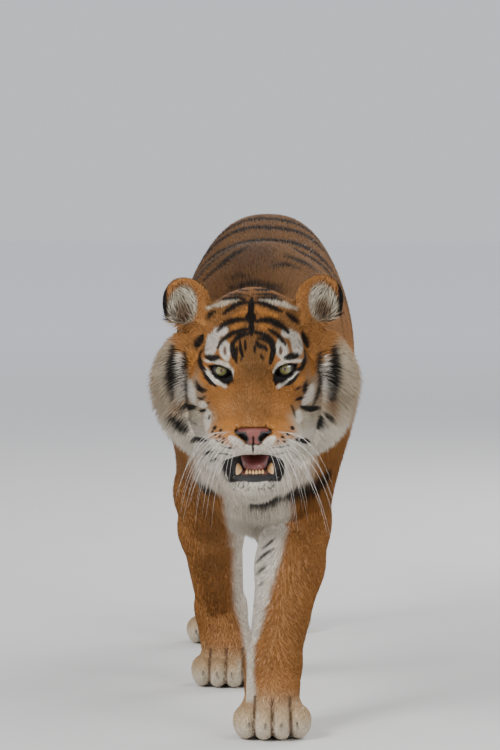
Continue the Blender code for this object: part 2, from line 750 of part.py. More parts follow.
def part_legs(lower):
    """The four legs below the trunk, each cut again above its paw."""
    legs = {
        "foreleg_left": FORE_LEFT, "foreleg_right": FORE_RIGHT,
        "hindleg_left": HIND_LEFT, "hindleg_right": HIND_RIGHT,
    }
    found = islands_of(lower, {name: joints["knuckles"] for name, joints in legs.items()})
    for name, leg in found.items():
        kind, side = name.split("leg_")
        leg.name = "whole_leg"
        parted(leg, name, kind + "paw_" + side, (0, 0, PAW_TOPS[kind]), (0, 0, 1))


def part_head(head):
    """Takes the jaw, ears and nose off the head, and sets eyes, teeth and tongue in it."""
    jaw, head = carved_out(head, "lower_jaw", *JAW_BLOCK, head_place())
    head = carved_out(head, "nose", *NOSE_BLOCK, head_place())[1]
    for side, name in ((1, "left"), (-1, "right")):
        a, b, c = (math.radians(t) for t in EAR_TURN)
        leaning = Euler((a, side * b, side * c)).to_matrix().to_4x4()
        ear_place = head_place() @ Matrix.Translation(mirrored(EAR_PLACE, side)) @ leaning
        head = carved_out(head, "ear_" + name, *EAR_BLOCK, ear_place)[1]
        eye_place = head_place() @ Matrix.Translation(mirrored(EYE_PLACE, side))
        egg("eye_" + name, eye_place, (EYE_RADIUS,) * 3)
        socket = egg("socket", eye_place, (EYE_RADIUS + GAP,) * 3)
        head = combine(head, socket, "DIFFERENCE")
        bpy.data.objects.remove(socket)
    egg("tongue", on_head_at(TONGUE_PLACE), TONGUE_RADII)
    rooms = [egg("room", on_head_at(TONGUE_PLACE), [r + GAP for r in TONGUE_RADII])]
    for side, name in ((1, "left"), (-1, "right")):
        canine("canine_" + name, side, 0)
        rooms.append(canine("room", side, GAP))
    incisors("incisors", 0)
    rooms.append(incisors("room", GAP))
    for room in rooms:
        jaw = combine(jaw, room, "DIFFERENCE")
        head = combine(head, room, "DIFFERENCE")
        bpy.data.objects.remove(room)
    head.name = "head"
    jaw.name = "lower_jaw"


def head_place():
    """The head's own axes as a matrix. It mirrors, as ahead on the head is -Y."""
    return Matrix.Translation(HEAD_POINT) @ Matrix(head_axes().T.tolist()).to_4x4()


def on_head_at(place):
    return head_place() @ Matrix.Translation(place)


def mirrored(place, side):
    return Vector((side * place[0], place[1], place[2]))


def egg(name, place, radii):
    work = bmesh.new()
    bmesh.ops.create_uvsphere(work, u_segments=16, v_segments=9, radius=1)
    bmesh.ops.transform(work, matrix=place @ Matrix.Diagonal((*radii, 1)), verts=work.verts)
    return from_bmesh(work, name)


def canine(name, side, margin):
    """A lower canine, a tapered round tooth that leans outwards."""
    work = bmesh.new()
    lean = Matrix.Rotation(side * CANINE["lean"], 4, "Y")
    up = Matrix.Translation((0, 0, CANINE["height"] / 2))
    bmesh.ops.create_cone(
        work, cap_ends=True, cap_tris=True, segments=10,
        radius1=CANINE["radius"] + margin, radius2=CANINE["radius"] * CANINE["tip"] + margin,
        depth=CANINE["height"] + 2 * margin,
        matrix=on_head_at(mirrored(CANINE["place"], side)) @ lean @ up,
    )
    return from_bmesh(work, name)


def incisors(name, margin):
    """The front teeth as one solid: a bar whose upper edge rises in a crown for each tooth."""
    count, step, thick = INCISORS["count"], INCISORS["spread"], INCISORS["radius"] + margin
    work = bmesh.new()
    rings = []
    for i in range(count * 4 + 1):
        x = (i / 4 - count / 2) * step
        end = margin * ((i == count * 4) - (i == 0))
        rise = INCISORS["gum"] + (1 - INCISORS["gum"]) * abs(math.sin(math.pi * i / 4))
        crown = INCISORS["height"] * rise + margin
        corners = ((-thick, -margin), (thick, -margin), (thick * 0.6, crown), (-thick * 0.6, crown))
        rings.append([work.verts.new((x + end, y, z)) for y, z in corners])
    for a, b in zip(rings, rings[1:]):
        for k in range(4):
            work.faces.new((a[k], a[k - 1], b[k - 1], b[k]))
    work.faces.new(rings[0])
    work.faces.new(rings[-1])
    bmesh.ops.transform(work, matrix=on_head_at(INCISORS["place"]), verts=work.verts)
    return from_bmesh(work, name)


# ---------------------------------------------------------------- finish and place

def clean(body):
    """Clears the crumbs and doubled points that cutting leaves, and triangulates the faces."""
    keep_largest(body.data)
    work = bmesh.new()
    work.from_mesh(body.data)
    bmesh.ops.remove_doubles(work, verts=work.verts, dist=TOUCHING)
    bmesh.ops.dissolve_degenerate(work, edges=work.edges, dist=TOUCHING)
    bmesh.ops.triangulate(work, faces=[f for f in work.faces if len(f.verts) > 3])
    work.to_mesh(body.data)
    work.free()


def finish(body):
    """Gives a node the colour of its kind, and smooth shading between its flat cuts."""
    colour, roughness = next((c, r) for start, c, r in FINISHES if body.name.startswith(start))
    material = bpy.data.materials.new(body.name)
    material.use_nodes = True
    shader = material.node_tree.nodes["Principled BSDF"]
    shader.inputs["Base Color"].default_value = (*colour, 1)
    shader.inputs["Roughness"].default_value = roughness
    body.data.materials.clear()
    body.data.materials.append(material)
    body.data.shade_smooth()
    body.data.set_sharp_from_angle(angle=math.radians(50))


def centre_on_origin(bodies):
    """Moves every node so that the whole animal's box stands centred on the origin."""
    corners = np.array([v.co for b in bodies for v in b.data.vertices])
    low, high = corners.min(0), corners.max(0)
    shift = (-(low[0] + high[0]) / 2, -(low[1] + high[1]) / 2, -low[2])
    for body in bodies:
        body.location = shift


def main():
    for old in list(bpy.data.objects):
        bpy.data.objects.remove(old)
    part_animal(whole_animal())
    bodies = list(bpy.data.objects)
    for body in bodies:
        clean(body)
        finish(body)
    centre_on_origin(bodies)


if __name__ == "__main__":
    main()
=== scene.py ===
import itertools
import math
import random

import bmesh
import bpy
import numpy as np
from mathutils import Euler, Matrix, Vector
from mathutils.bvhtree import BVHTree


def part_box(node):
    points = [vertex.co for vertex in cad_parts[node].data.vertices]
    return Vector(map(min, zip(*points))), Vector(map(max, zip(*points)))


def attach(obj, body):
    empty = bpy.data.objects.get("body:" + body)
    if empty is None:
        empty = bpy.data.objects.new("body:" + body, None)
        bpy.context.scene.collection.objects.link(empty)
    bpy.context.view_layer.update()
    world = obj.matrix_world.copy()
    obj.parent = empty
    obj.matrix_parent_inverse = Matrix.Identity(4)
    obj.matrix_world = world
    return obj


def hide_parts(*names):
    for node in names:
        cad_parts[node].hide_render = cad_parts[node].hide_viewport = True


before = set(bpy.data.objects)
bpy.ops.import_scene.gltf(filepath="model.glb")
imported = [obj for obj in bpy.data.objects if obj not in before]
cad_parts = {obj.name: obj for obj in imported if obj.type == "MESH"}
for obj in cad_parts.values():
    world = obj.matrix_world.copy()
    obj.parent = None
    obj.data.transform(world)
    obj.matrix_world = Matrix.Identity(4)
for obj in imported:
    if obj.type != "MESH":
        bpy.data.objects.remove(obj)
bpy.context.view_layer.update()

rootBody = "root"
print("frame loaded,", len(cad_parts), "nodes")

# where the body is laid out from
headPoint = np.array((-0.004, -0.545, 0.701))  # between the eyes
headPitch = math.radians(14.0)
headRoll = math.radians(1.2)
eyePlace = (0.0600, 0.008, 0.006)
eyeBall = {"place": (0.0590, 0.0065, 0.004), "radius": 0.0200, "iris": 0.0113, "pupil": 0.0030,
           "rows": 40, "cols": 48}


# flesh: every muscle is a distance, and they melt into each other
class Muscle:
    def __init__(self, distance, low, high, blend, hollow=False):
        self.distance = distance
        self.low = np.array(low, float)
        self.high = np.array(high, float)
        self.blend = blend
        self.hollow = hollow


def smoothMin(a, b, blend):
    near = np.maximum(blend - np.abs(a - b), 0.0) / blend
    return np.minimum(a, b) - near * near * blend / 4


def step(value, low, high):
    # eases from 0 at low to 1 at high, which may be the smaller of the two
    t = np.clip((value - low) / (high - low), 0, 1)
    return t * t * (3 - 2 * t)


def fleshAt(points, muscles):
    value = np.full(len(points), 0.2)
    for m in muscles:
        pad = m.blend + 0.02
        near = np.all((points > m.low - pad) & (points < m.high + pad), axis=1)
        if not near.any():
            continue
        d = m.distance(points[near])
        if m.hollow:
            value[near] = -smoothMin(-value[near], d, m.blend)
        else:
            value[near] = smoothMin(value[near], d, m.blend)
    return value


def ball(centre, radii, turn=(0, 0, 0), blend=0.03, hollow=False):
    c = np.array(centre, float)
    r = np.array(radii, float)
    axes = np.array(Euler([math.radians(a) for a in turn]).to_matrix())

    def distance(p):
        q = (p - c) @ axes / r
        inner = np.linalg.norm(q, axis=1)
        slope = np.linalg.norm(q / r, axis=1) + 1e-9
        return inner * (inner - 1) / slope

    return Muscle(distance, c - r.max(), c + r.max(), blend, hollow)


def bone(a, b, radiusA, radiusB, blend=0.03, thin=1.0, hollow=False):
    start = np.array(a, float)
    along = np.array(b, float) - start
    stretch = np.array([1 / thin, 1.0, 1.0])

    def distance(p):
        away = p - start
        t = np.clip(away @ along / (along @ along), 0, 1)
        off = (away - t[:, None] * along) * stretch
        return (np.linalg.norm(off, axis=1) - radiusA - t * (radiusB - radiusA)) * min(1, thin)

    wide = max(radiusA, radiusB) * max(1, thin)
    ends = np.array([a, b], float)
    return Muscle(distance, ends.min(0) - wide, ends.max(0) + wide, blend, hollow)


def pair(make, centre, *sizes, turn=(0, 0, 0), **more):
    for side in (1, -1):
        x, y, z = centre
        a, b, c = turn
        yield make((side * x, y, z), *sizes, turn=(a, side * b, side * c), **more)


def bonePair(a, b, *radii, **more):
    for side in (1, -1):
        yield bone((side * a[0], *a[1:]), (side * b[0], *b[1:]), *radii, **more)


# along, height of the widest level, rise above it, drop below it, half width
trunkStations = (
    (-0.44, 0.635, 0.130, 0.150, 0.105),
    (-0.34, 0.640, 0.168, 0.195, 0.140),
    (-0.24, 0.640, 0.215, 0.235, 0.152),
    (-0.12, 0.640, 0.262, 0.262, 0.150),
    (-0.02, 0.640, 0.282, 0.262, 0.155),
    (0.12, 0.638, 0.272, 0.250, 0.168),
    (0.30, 0.640, 0.255, 0.240, 0.184),
    (0.48, 0.650, 0.259, 0.238, 0.190),
    (0.64, 0.672, 0.271, 0.232, 0.178),
    (0.78, 0.700, 0.259, 0.210, 0.158),
    (0.90, 0.720, 0.226, 0.180, 0.136),
    (1.00, 0.735, 0.162, 0.130, 0.098),
    (1.06, 0.745, 0.095, 0.075, 0.052),
)
trunkShape = {"boxy": 2.45}


def eased(at, stations, column):
    table = np.array(stations)
    xs, ys = table[:, 0], table[:, column]
    slopes = np.gradient(ys, xs)
    i = np.clip(np.searchsorted(xs, at) - 1, 0, len(xs) - 2)
    gap = xs[i + 1] - xs[i]
    t = np.clip((at - xs[i]) / gap, 0, 1)
    return (
        ys[i] * (1 + 2 * t) * (1 - t) ** 2
        + slopes[i] * gap * t * (1 - t) ** 2
        + ys[i + 1] * t * t * (3 - 2 * t)
        + slopes[i + 1] * gap * t * t * (t - 1)
    )


def headLean(y):
    t = np.clip((-0.05 - y) / 0.45, 0, 1)
    return headPoint[0] * t * t * (3 - 2 * t)


def trunk():
    boxy = trunkShape["boxy"]

    def distance(p):
        level, rise, drop, half = (eased(p[:, 1], trunkStations, c) for c in (1, 2, 3, 4))
        tall = np.where(p[:, 2] > level, rise, drop)
        across = (p[:, 0] - headLean(p[:, 1])) / half
        up = (p[:, 2] - level) / tall
        inner = (np.abs(across) ** boxy + np.abs(up) ** boxy) ** (1 / boxy)
        slope = np.hypot(across / half, up / tall) / (np.hypot(across, up) + 1e-9) + 1e-9
        ends = np.maximum(trunkStations[0][0] - p[:, 1], p[:, 1] - trunkStations[-1][0])
        return np.maximum((inner - 1) / slope, ends)

    return Muscle(distance, (-0.2, -0.44, 0.35), (0.2, 1.06, 0.98), 0.03)


def headAxes():
    c, s = math.cos(headPitch), math.sin(headPitch)
    level = np.array([(1, 0, 0), (0, -c, -s), (0, -s, c)], float)
    return level @ np.array(Matrix.Rotation(headRoll, 3, "Y"))


headTurn = headAxes()


def toHead(p):
    return (p - headPoint) @ headTurn.T


def fromHead(q):
    return np.array(q, float) @ headTurn + headPoint


def onHead(muscle):
    # a shape laid out in the head's own frame, moved on to the body
    corners = fromHead(list(itertools.product(*zip(muscle.low, muscle.high))))
    local = muscle.distance
    return Muscle(lambda p: local(toHead(p)), corners.min(0), corners.max(0), muscle.blend, muscle.hollow)


mouth = {"back": (0, 0.044, -0.141), "front": (0, 0.150, -0.142), "radii": (0.010, 0.0245), "width": 2.1}
# the slit of an eye: its middle, half length and half height, and how far its inner corner drops
eyeSlit = {"middle": (0.0595, 0.0040), "long": 0.0180, "high": 0.0100, "slant": math.radians(24)}


def slitAt(q, side):
    # how far a place on the head is outside the slit of one eye, seen from ahead
    dx = side * q[:, 0] - eyeSlit["middle"][0]
    dz = q[:, 2] - eyeSlit["middle"][1]
    c, s = math.cos(eyeSlit["slant"]), math.sin(eyeSlit["slant"])
    u = dx * c + dz * s
    v = dz * c - dx * s
    bow = 1 - (u / eyeSlit["long"]) ** 2
    edge = np.where(v > 0, eyeSlit["high"] * 0.92, eyeSlit["high"] * 1.08) * bow
    return (np.abs(v) - edge) / (1 + np.abs(u) / eyeSlit["long"])


def eyeOpening(side):
    def distance(q):
        out = slitAt(q, side)
        return np.maximum(out, eyeBall["place"][1] + 0.002 - q[:, 1])

    c = np.array((side * eyeSlit["middle"][0], 0.030, eyeSlit["middle"][1]))
    return Muscle(distance, c - (0.024, 0.02, 0.02), c + (0.024, 0.03, 0.02), 0.0015, True)


def headMuscles(fine=True):
    shapes = [
        ball((0, -0.118, 0.008), (0.106, 0.116, 0.108), blend=0.04),
        ball((0, -0.060, 0.023), (0.084, 0.076, 0.065), blend=0.04),
        ball((0, -0.095, -0.118), (0.114, 0.110, 0.098), blend=0.04),
        bone((0, -0.008, -0.010), (0, 0.110, -0.077), 0.058, 0.042, blend=0.030, thin=0.86),
        ball((0, 0.129, -0.082), (0.036, 0.026, 0.024), blend=0.014),
        ball((0, 0.130, -0.105), (0.030, 0.032, 0.021), blend=0.018),
    ]
    shapes += pair(ball, (0.056, -0.106, 0.060), (0.046, 0.056, 0.044), blend=0.025)
    shapes += pair(ball, (0.052, -0.004, 0.030), (0.036, 0.032, 0.020), turn=(0, 20, 0), blend=0.03)
    shapes += pair(ball, (0.046, 0.034, -0.058), (0.038, 0.066, 0.046), blend=0.03)
    shapes += pair(ball, (0.078, -0.040, -0.046), (0.054, 0.072, 0.064), blend=0.035)
    shapes += pair(ball, (0.108, -0.112, -0.066), (0.084, 0.064, 0.120), turn=(0, 6, 0), blend=0.035)
    shapes += pair(ball, (0.122, -0.080, -0.050), (0.044, 0.060, 0.080), turn=(0, 6, 0), blend=0.035)
    shapes += pair(ball, (0.098, -0.085, -0.122), (0.060, 0.066, 0.076), turn=(0, 25, 0), blend=0.03)
    shapes += pair(ball, (0.041, 0.117, -0.094), (0.043, 0.050, 0.038), turn=(0, -12, 0), blend=0.016)
    shapes += bonePair((0.052, 0.060, -0.088), (0.064, -0.02, -0.094), 0.042, 0.054, blend=0.03)
    shapes += pair(ball, (0.061, 0.036, 0.005), (0.022, 0.016, 0.013), blend=0.008, hollow=True)
    if fine:  # lids round the eyeballs, and the brow over them
        shapes += pair(ball, eyeBall["place"], (eyeBall["radius"] + 0.0050,) * 3, blend=0.012)
        shapes += pair(ball, (0.060, 0.012, 0.024), (0.030, 0.016, 0.010), turn=(0, -16, 0), blend=0.020)
        shapes += [eyeOpening(1), eyeOpening(-1)]
    shapes.append(bone(mouth["back"], mouth["front"], *mouth["radii"], 0.008, mouth["width"], hollow=True))
    shapes += pair(ball, (0.038, 0.111, -0.117), (0.027, 0.034, 0.017), blend=0.008)
    shapes.append(bone((0, -0.026, -0.170), (0, 0.104, -0.186), 0.052, 0.034, blend=0.014, thin=1.40))
    shapes += pair(ball, (0.121, -0.108, 0.091), (0.046, 0.022, 0.056), turn=(8, 24, 12), blend=0.022)
    shapes += pair(ball, (0.126, -0.080, 0.099), (0.030, 0.024, 0.038), turn=(8, 24, 12), blend=0.008,
                   hollow=True)
    return [onHead(s) for s in shapes]


# legs and tail
foreLeft = {
    "shoulder": (0.100, -0.205, 0.620), "elbow": (0.073, -0.165, 0.376), "wrist": (0.030, -0.362, 0.128),
    "knuckles": (0.028, -0.432, 0.052), "turn": math.radians(3.0),
}
foreRight = {
    "shoulder": (-0.100, -0.130, 0.600), "elbow": (-0.110, 0.085, 0.412), "wrist": (-0.088, 0.282, 0.158),
    "knuckles": (-0.072, 0.264, 0.052), "turn": math.radians(-4.0),
}
hindLeft = {
    "hip": (0.078, 0.860, 0.680), "knee": (0.090, 0.812, 0.398), "hock": (0.058, 1.115, 0.262),
    "knuckles": (0.028, 1.118, 0.050), "turn": math.radians(4.0),
}
hindRight = {
    "hip": (-0.078, 0.860, 0.680), "knee": (-0.108, 0.722, 0.432), "hock": (-0.116, 1.020, 0.240),
    "knuckles": (-0.116, 0.938, 0.050), "turn": math.radians(-5.0),
}
foreRadii = {"blade": 0.070, "shoulder": 0.082, "elbow": 0.071, "forearm": 0.066, "wrist": 0.050,
             "knuckles": 0.048}
forePaw = {"width": 0.148, "toe": (0.0240, 0.046, 0.034), "reach": 0.046, "arc": 0.068}
hindRadii = {"hip": 0.105, "knee": 0.072, "calf": 0.060, "hock": 0.038, "knuckles": 0.041}
hindPaw = {"width": 0.126, "toe": (0.0205, 0.040, 0.031), "reach": 0.044, "arc": 0.068}
toeSplay = 14
legs = ((foreLeft, forePaw), (foreRight, forePaw), (hindLeft, hindPaw), (hindRight, hindPaw))


def toes(knuckles, turn, sizes):
    # where each toe's tip is, and its heading in degrees
    spread = sizes["width"] - 2 * sizes["toe"][0]
    heading = Matrix.Rotation(turn, 3, "Z")
    for i in range(4):
        out = i / 3 - 0.5
        back = out * out * sizes["arc"]
        place = Vector((out * spread, -sizes["reach"] + back, sizes["toe"][2] - 0.003 - knuckles[2]))
        root = Vector(knuckles) + heading @ Vector((out * spread * 0.72, 0.002 + back, -0.008))
        yield root, Vector(knuckles) + heading @ place, math.degrees(turn) - out * toeSplay


def paw(knuckles, turn, sizes):
    toeX, toeY, toeZ = sizes["toe"]
    heading = Matrix.Rotation(turn, 3, "Z")
    middle = Vector(knuckles) + heading @ Vector((0, 0.020, -0.022))
    yield ball(middle, (sizes["width"] * 0.42, 0.056, 0.034), blend=0.024)
    for root, tip, splay in toes(knuckles, turn, sizes):
        behind = tip + Vector((0, 0.006, 0.004))
        yield bone(root, behind, toeZ * 0.80, toeZ * 0.86, blend=0.012, thin=0.86)
        yield ball(tip, (toeX, toeY, toeZ), turn=(0, 0, splay), blend=0.0055)


def foreLeg(joints, side):
    r = foreRadii
    shoulder, elbow, wrist, knuckles = (Vector(joints[n]) for n in ("shoulder", "elbow", "wrist", "knuckles"))
    blade = Vector((side * 0.082, shoulder.y + 0.135, 0.775))
    yield bone(blade, shoulder, r["blade"], r["shoulder"], blend=0.06, thin=0.80)
    yield bone(shoulder, elbow, r["shoulder"], r["elbow"], blend=0.05, thin=0.86)
    backArm = elbow.lerp(shoulder, 0.35) + Vector((0, 0.050, 0))
    point = elbow + (elbow - wrist).normalized() * 0.020 + Vector((0, 0.028, 0))
    yield bone(backArm, point, 0.050, 0.036, blend=0.04, thin=0.9)
    forearm = elbow.lerp(wrist, 0.30)
    yield bone(elbow, forearm, r["elbow"], r["forearm"], blend=0.03, thin=0.94)
    yield bone(forearm, wrist, r["forearm"], r["wrist"], blend=0.03, thin=1.0)
    yield bone(wrist, knuckles, r["wrist"], r["knuckles"], blend=0.02, thin=1.12)
    yield ball(wrist + Vector((0, 0.030, -0.018)), (0.026, 0.020, 0.026), blend=0.02)
    dew = wrist.lerp(knuckles, 0.35) + Vector((-side * 0.040, 0.010, -0.022))
    yield ball(dew, (0.013, 0.020, 0.024), turn=(-25, 0, 0), blend=0.014)
    yield from paw(knuckles, joints["turn"], forePaw)


def hindLeg(joints, side):
    r = hindRadii
    hip, knee, hock, knuckles = (Vector(joints[n]) for n in ("hip", "knee", "hock", "knuckles"))
    yield bone(hip, knee, r["hip"], r["knee"], blend=0.06, thin=0.72)
    ham = hip.lerp(knee, 0.42) + Vector((side * 0.004, 0.085, -0.010))
    yield ball(ham, (0.066, 0.092, 0.160), turn=(14, 0, 0), blend=0.06)
    calf = knee.lerp(hock, 0.34) + Vector((0, 0.022, 0.004))
    yield bone(knee, calf, r["knee"] * 0.96, r["calf"], blend=0.04, thin=0.80)
    yield bone(calf, hock, r["calf"] * 0.94, r["hock"], blend=0.03, thin=0.86)
    heel = hock + (hock - knee).normalized() * 0.020 + Vector((0, 0.006, 0.012))
    yield bone(calf.lerp(hock, 0.5), heel, 0.030, 0.024, blend=0.03, thin=0.9)
    yield bone(hock, knuckles, r["hock"] * 1.02, r["knuckles"], blend=0.02, thin=1.0)
    yield from paw(knuckles, joints["turn"], hindPaw)


tail = {
    "start": (0.0, 1.005, 0.830), "length": 0.98, "radii": (0.056, 0.034, 0.026), "steps": 14,
    "drop": math.radians(-62.0), "lift": math.radians(42.0), "swing": 0.045,
}


def tailLine():
    y, z = tail["start"][1:]
    stride = tail["length"] / tail["steps"]
    points = [Vector(tail["start"])]
    for i in range(tail["steps"]):
        t = (i + 0.5) / tail["steps"]
        fall = tail["drop"] * min(1, 0.55 + 2.2 * t)
        lift = max(0.0, (t - 0.30) / 0.70)
        slope = fall + (tail["lift"] - tail["drop"]) * lift ** 1.1
        y += stride * math.cos(slope)
        z += stride * math.sin(slope)
        points.append(Vector((tail["swing"] * math.sin(t * math.pi * 0.6), y, z)))
    return np.array(points)


def tailPlace(p):
    # how far from the tail's line, and the share of the way down it
    line = tailLine()
    best = np.full(len(p), 9.0)
    share = np.zeros(len(p))
    for i in range(len(line) - 1):
        along = line[i + 1] - line[i]
        t = np.clip((p - line[i]) @ along / (along @ along), 0, 1)
        off = np.linalg.norm(p - line[i] - t[:, None] * along, axis=1)
        nearer = off < best
        best = np.where(nearer, off, best)
        share = np.where(nearer, (i + t) / (len(line) - 1), share)
    return best, share


def tailMuscle():
    line = tailLine()
    root, body, tip = tail["radii"]

    def distance(p):
        off, share = tailPlace(p)
        return off - (body + (root - body) * np.exp(-share * 12) - (body - tip) * share ** 3)

    return Muscle(distance, line.min(0) - root, line.max(0) + root, 0.05)


def allMuscles():
    muscles = [trunk()]
    muscles += pair(ball, (0.072, 0.885, 0.735), (0.074, 0.125, 0.130), turn=(20, 0, 0), blend=0.06)
    muscles += [
        ball((0, -0.255, 0.520), (0.098, 0.075, 0.125), turn=(-18, 0, 0), blend=0.05),
        ball((0, -0.120, 0.450), (0.085, 0.140, 0.095), blend=0.05),
        ball((0, 0.500, 0.455), (0.105, 0.200, 0.055), blend=0.05),
        ball((0, 0.955, 0.690), (0.100, 0.095, 0.170), turn=(6, 0, 0), blend=0.08),
    ]
    muscles += foreLeg(foreLeft, 1)
    muscles += foreLeg(foreRight, -1)
    muscles += hindLeg(hindLeft, 1)
    muscles += hindLeg(hindRight, -1)
    muscles.append(tailMuscle())
    muscles += headMuscles()
    return muscles


# skin: the flesh's surface, drawn in by the depth of its coat
skin = {
    "cell": 0.0107, "body": 0.0070, "leg": 0.0045, "paw": 0.0030, "face": 0.0022, "ruff": 0.0120,
    "ear": 0.0020, "tail": 0.0060, "underNose": 0.011,
}
nose = {
    "top": -0.066, "bottom": -0.094, "wide": 0.0390, "narrow": 0.0060, "proud": 0.0012, "cell": 0.0014,
    "hole": (0.0205, 0.154, -0.0815), "holeSize": (0.0110, 0.015, 0.0075), "slit": (0.0365, 0.146, -0.0715),
    "pink": ((0.190, 0.056, 0.043), (0.120, 0.040, 0.032)), "black": (0.012, 0.009, 0.009),
}


def mixed(a, b, share):
    return a + (b - a) * share


def noseOutline(q):
    # how far outside the bare pad's edge, seen from ahead: wide above, narrow at the lip
    t = np.clip((q[:, 2] - nose["bottom"]) / (nose["top"] - nose["bottom"]), 0, 1)
    half = nose["narrow"] + (nose["wide"] - nose["narrow"]) * t ** 0.7
    beside = (np.abs(q[:, 0]) - half) * 0.75
    above = q[:, 2] - nose["top"] + 0.006 * (q[:, 0] / nose["wide"]) ** 2
    below = nose["bottom"] - q[:, 2]
    return np.maximum(np.maximum(beside, np.maximum(above, below)), 0.115 - q[:, 1])


def coatDepth(p):
    q = toHead(p)
    onTheHead = step(q[:, 1], -0.26, -0.16) * step(p[:, 2], 0.42, 0.46)
    depth = np.full(len(p), skin["body"])
    depth = mixed(depth, skin["leg"], step(p[:, 2], 0.42, 0.32))
    depth = mixed(depth, skin["paw"], step(p[:, 2], 0.14, 0.09))
    depth = mixed(depth, skin["tail"], step(p[:, 1], 1.10, 1.20) * step(p[:, 2], 0.30, 0.36))
    face = step(np.abs(q[:, 0]) + 0.5 * np.maximum(0, -q[:, 1]), 0.135, 0.095)
    ear = step(q[:, 2], 0.050, 0.075) * step(np.abs(q[:, 0]), 0.075, 0.090)
    headDepth = mixed(mixed(skin["ruff"], skin["face"], face), skin["ear"], ear)
    headDepth = mixed(headDepth, skin["underNose"], step(noseOutline(q), 0.004, -0.002))
    return mixed(depth, headDepth, onTheHead)


def withoutDoubt(values):
    # fills a corner wherever two parts of the flesh would only touch along an edge
    values = values.copy()
    for _ in range(6):
        inside = values < 0
        found = False
        for u, v in ((0, 1), (0, 2), (1, 2)):
            corners = {}
            for du in (0, 1):
                for dv in (0, 1):
                    at = [slice(None)] * 3
                    at[u] = slice(du, du - 1 or None)
                    at[v] = slice(dv, dv - 1 or None)
                    corners[du, dv] = tuple(at)
            a, b, c, d = (inside[corners[k]] for k in ((0, 0), (0, 1), (1, 0), (1, 1)))
            rising = (a & d) & ~(b | c)
            falling = (b & c) & ~(a | d)
            for odd, outside in ((rising, ((0, 1), (1, 0))), (falling, ((0, 0), (1, 1)))):
                for k in outside:
                    values[corners[k]][odd] = -1e-6
                found = found or odd.any()
        if not found:
            break
    return values


def surfaceNet(values, axes):
    inside = values < 0
    shape = np.array(values.shape) - 1
    corners = list(itertools.product((0, 1), repeat=3))
    count = np.zeros(shape, int)
    for i, j, k in corners:
        count += inside[i:i + shape[0], j:j + shape[1], k:k + shape[2]]
    crossed = (count > 0) & (count < 8)
    cells = np.argwhere(crossed)
    index = np.full(crossed.shape, -1)
    index[crossed] = np.arange(len(cells))
    total, hits = np.zeros((len(cells), 3)), np.zeros(len(cells))
    for a in corners:
        for axis in range(3):
            if a[axis]:
                continue
            b = list(a)
            b[axis] = 1
            va = values[tuple((cells + a).T)]
            vb = values[tuple((cells + b).T)]
            cut = (va < 0) != (vb < 0)
            place = np.tile(np.array(a, float), (len(cells), 1))
            place[:, axis] += va / np.where(cut, va - vb, 1)
            total[cut] += place[cut]
            hits[cut] += 1
    spots = cells + total / hits[:, None]
    points = np.stack([np.interp(spots[:, i], np.arange(len(axes[i])), axes[i]) for i in range(3)], 1)
    quads = []
    for axis in range(3):
        u, v = (axis + 1) % 3, (axis + 2) % 3
        first = [slice(1, -1)] * 3
        second = [slice(1, -1)] * 3
        first[axis], second[axis] = slice(0, -1), slice(1, None)
        a, b = inside[tuple(first)], inside[tuple(second)]
        spot = np.argwhere(a != b)
        leaving = a[tuple(spot.T)]
        base = spot + np.array([0 if i == axis else 1 for i in range(3)])
        ring = []
        for du, dv in ((0, 0), (-1, 0), (-1, -1), (0, -1)):
            at = base.copy()
            at[:, u] += du
            at[:, v] += dv
            ring.append(index[tuple(at.T)])
        ring = np.stack(ring, 1)
        ring[~leaving] = ring[~leaving][:, ::-1]
        quads.append(ring)
    return points, np.concatenate(quads).tolist()


def netOf(field, low, high, cell):
    # a closed mesh where the field crosses zero inside a box
    axes = [np.arange(a, b, cell) for a, b in zip(low, high)]
    grid = np.stack(np.meshgrid(*axes, indexing="ij"), -1)
    values = field(grid.reshape(-1, 3)).reshape(grid.shape[:3])
    points, quads = surfaceNet(withoutDoubt(values), axes)
    return settled(points, field, cell), quads


def settled(points, field, reach, rounds=3):
    # moves each point on to the field's own surface
    nudge = 0.0006
    for _ in range(rounds):
        value = field(points)
        rises = [field(points + nudge * a) - field(points - nudge * a) for a in np.eye(3)]
        slope = np.stack(rises, 1) / (2 * nudge)
        size = (slope ** 2).sum(1) + 0.05
        points = points - np.clip(value / size, -reach, reach)[:, None] * slope
    return points


def placed(name, data):
    made = bpy.data.objects.new(name, data)
    bpy.context.scene.collection.objects.link(made)
    return made


def newMesh(name, points, faces, edges=()):
    mesh = bpy.data.meshes.new(name)
    mesh.from_pydata(np.asarray(points, float).tolist(), list(edges), faces)
    mesh.shade_smooth()
    return mesh


def newObject(name, points, faces):
    return placed(name, newMesh(name, points, faces))


def turns(count):
    # the evenly spaced angles of a ring
    return [2 * math.pi * k / count for k in range(count)]


def rework(made, change):
    # runs a change on an object's mesh
    work = bmesh.new()
    work.from_mesh(made.data)
    change(work)
    work.to_mesh(made.data)
    work.free()
    made.data.shade_smooth()


def addNormals(made):
    rework(made, lambda work: bmesh.ops.recalc_face_normals(work, faces=work.faces))


def loft(solids):
    # points and faces of closed solids, each given as its rings
    points, faces = [], []
    for rings in solids:
        start, sides = len(points), len(rings[0])
        points += [place for ring in rings for place in ring]
        for r in range(len(rings) - 1):
            for k in range(sides):
                a, b = start + r * sides + k, start + r * sides + (k + 1) % sides
                faces.append((a, b, b + sides, a + sides))
        faces.append(tuple(range(start, start + sides))[::-1])
        faces.append(tuple(range(len(points) - sides, len(points))))
    return points, faces


def places(mesh):
    out = np.empty(len(mesh.vertices) * 3)
    mesh.vertices.foreach_get("co", out)
    return out.reshape(-1, 3)


def setPlaces(mesh, points):
    mesh.vertices.foreach_set("co", np.asarray(points, float).ravel())
    mesh.update()


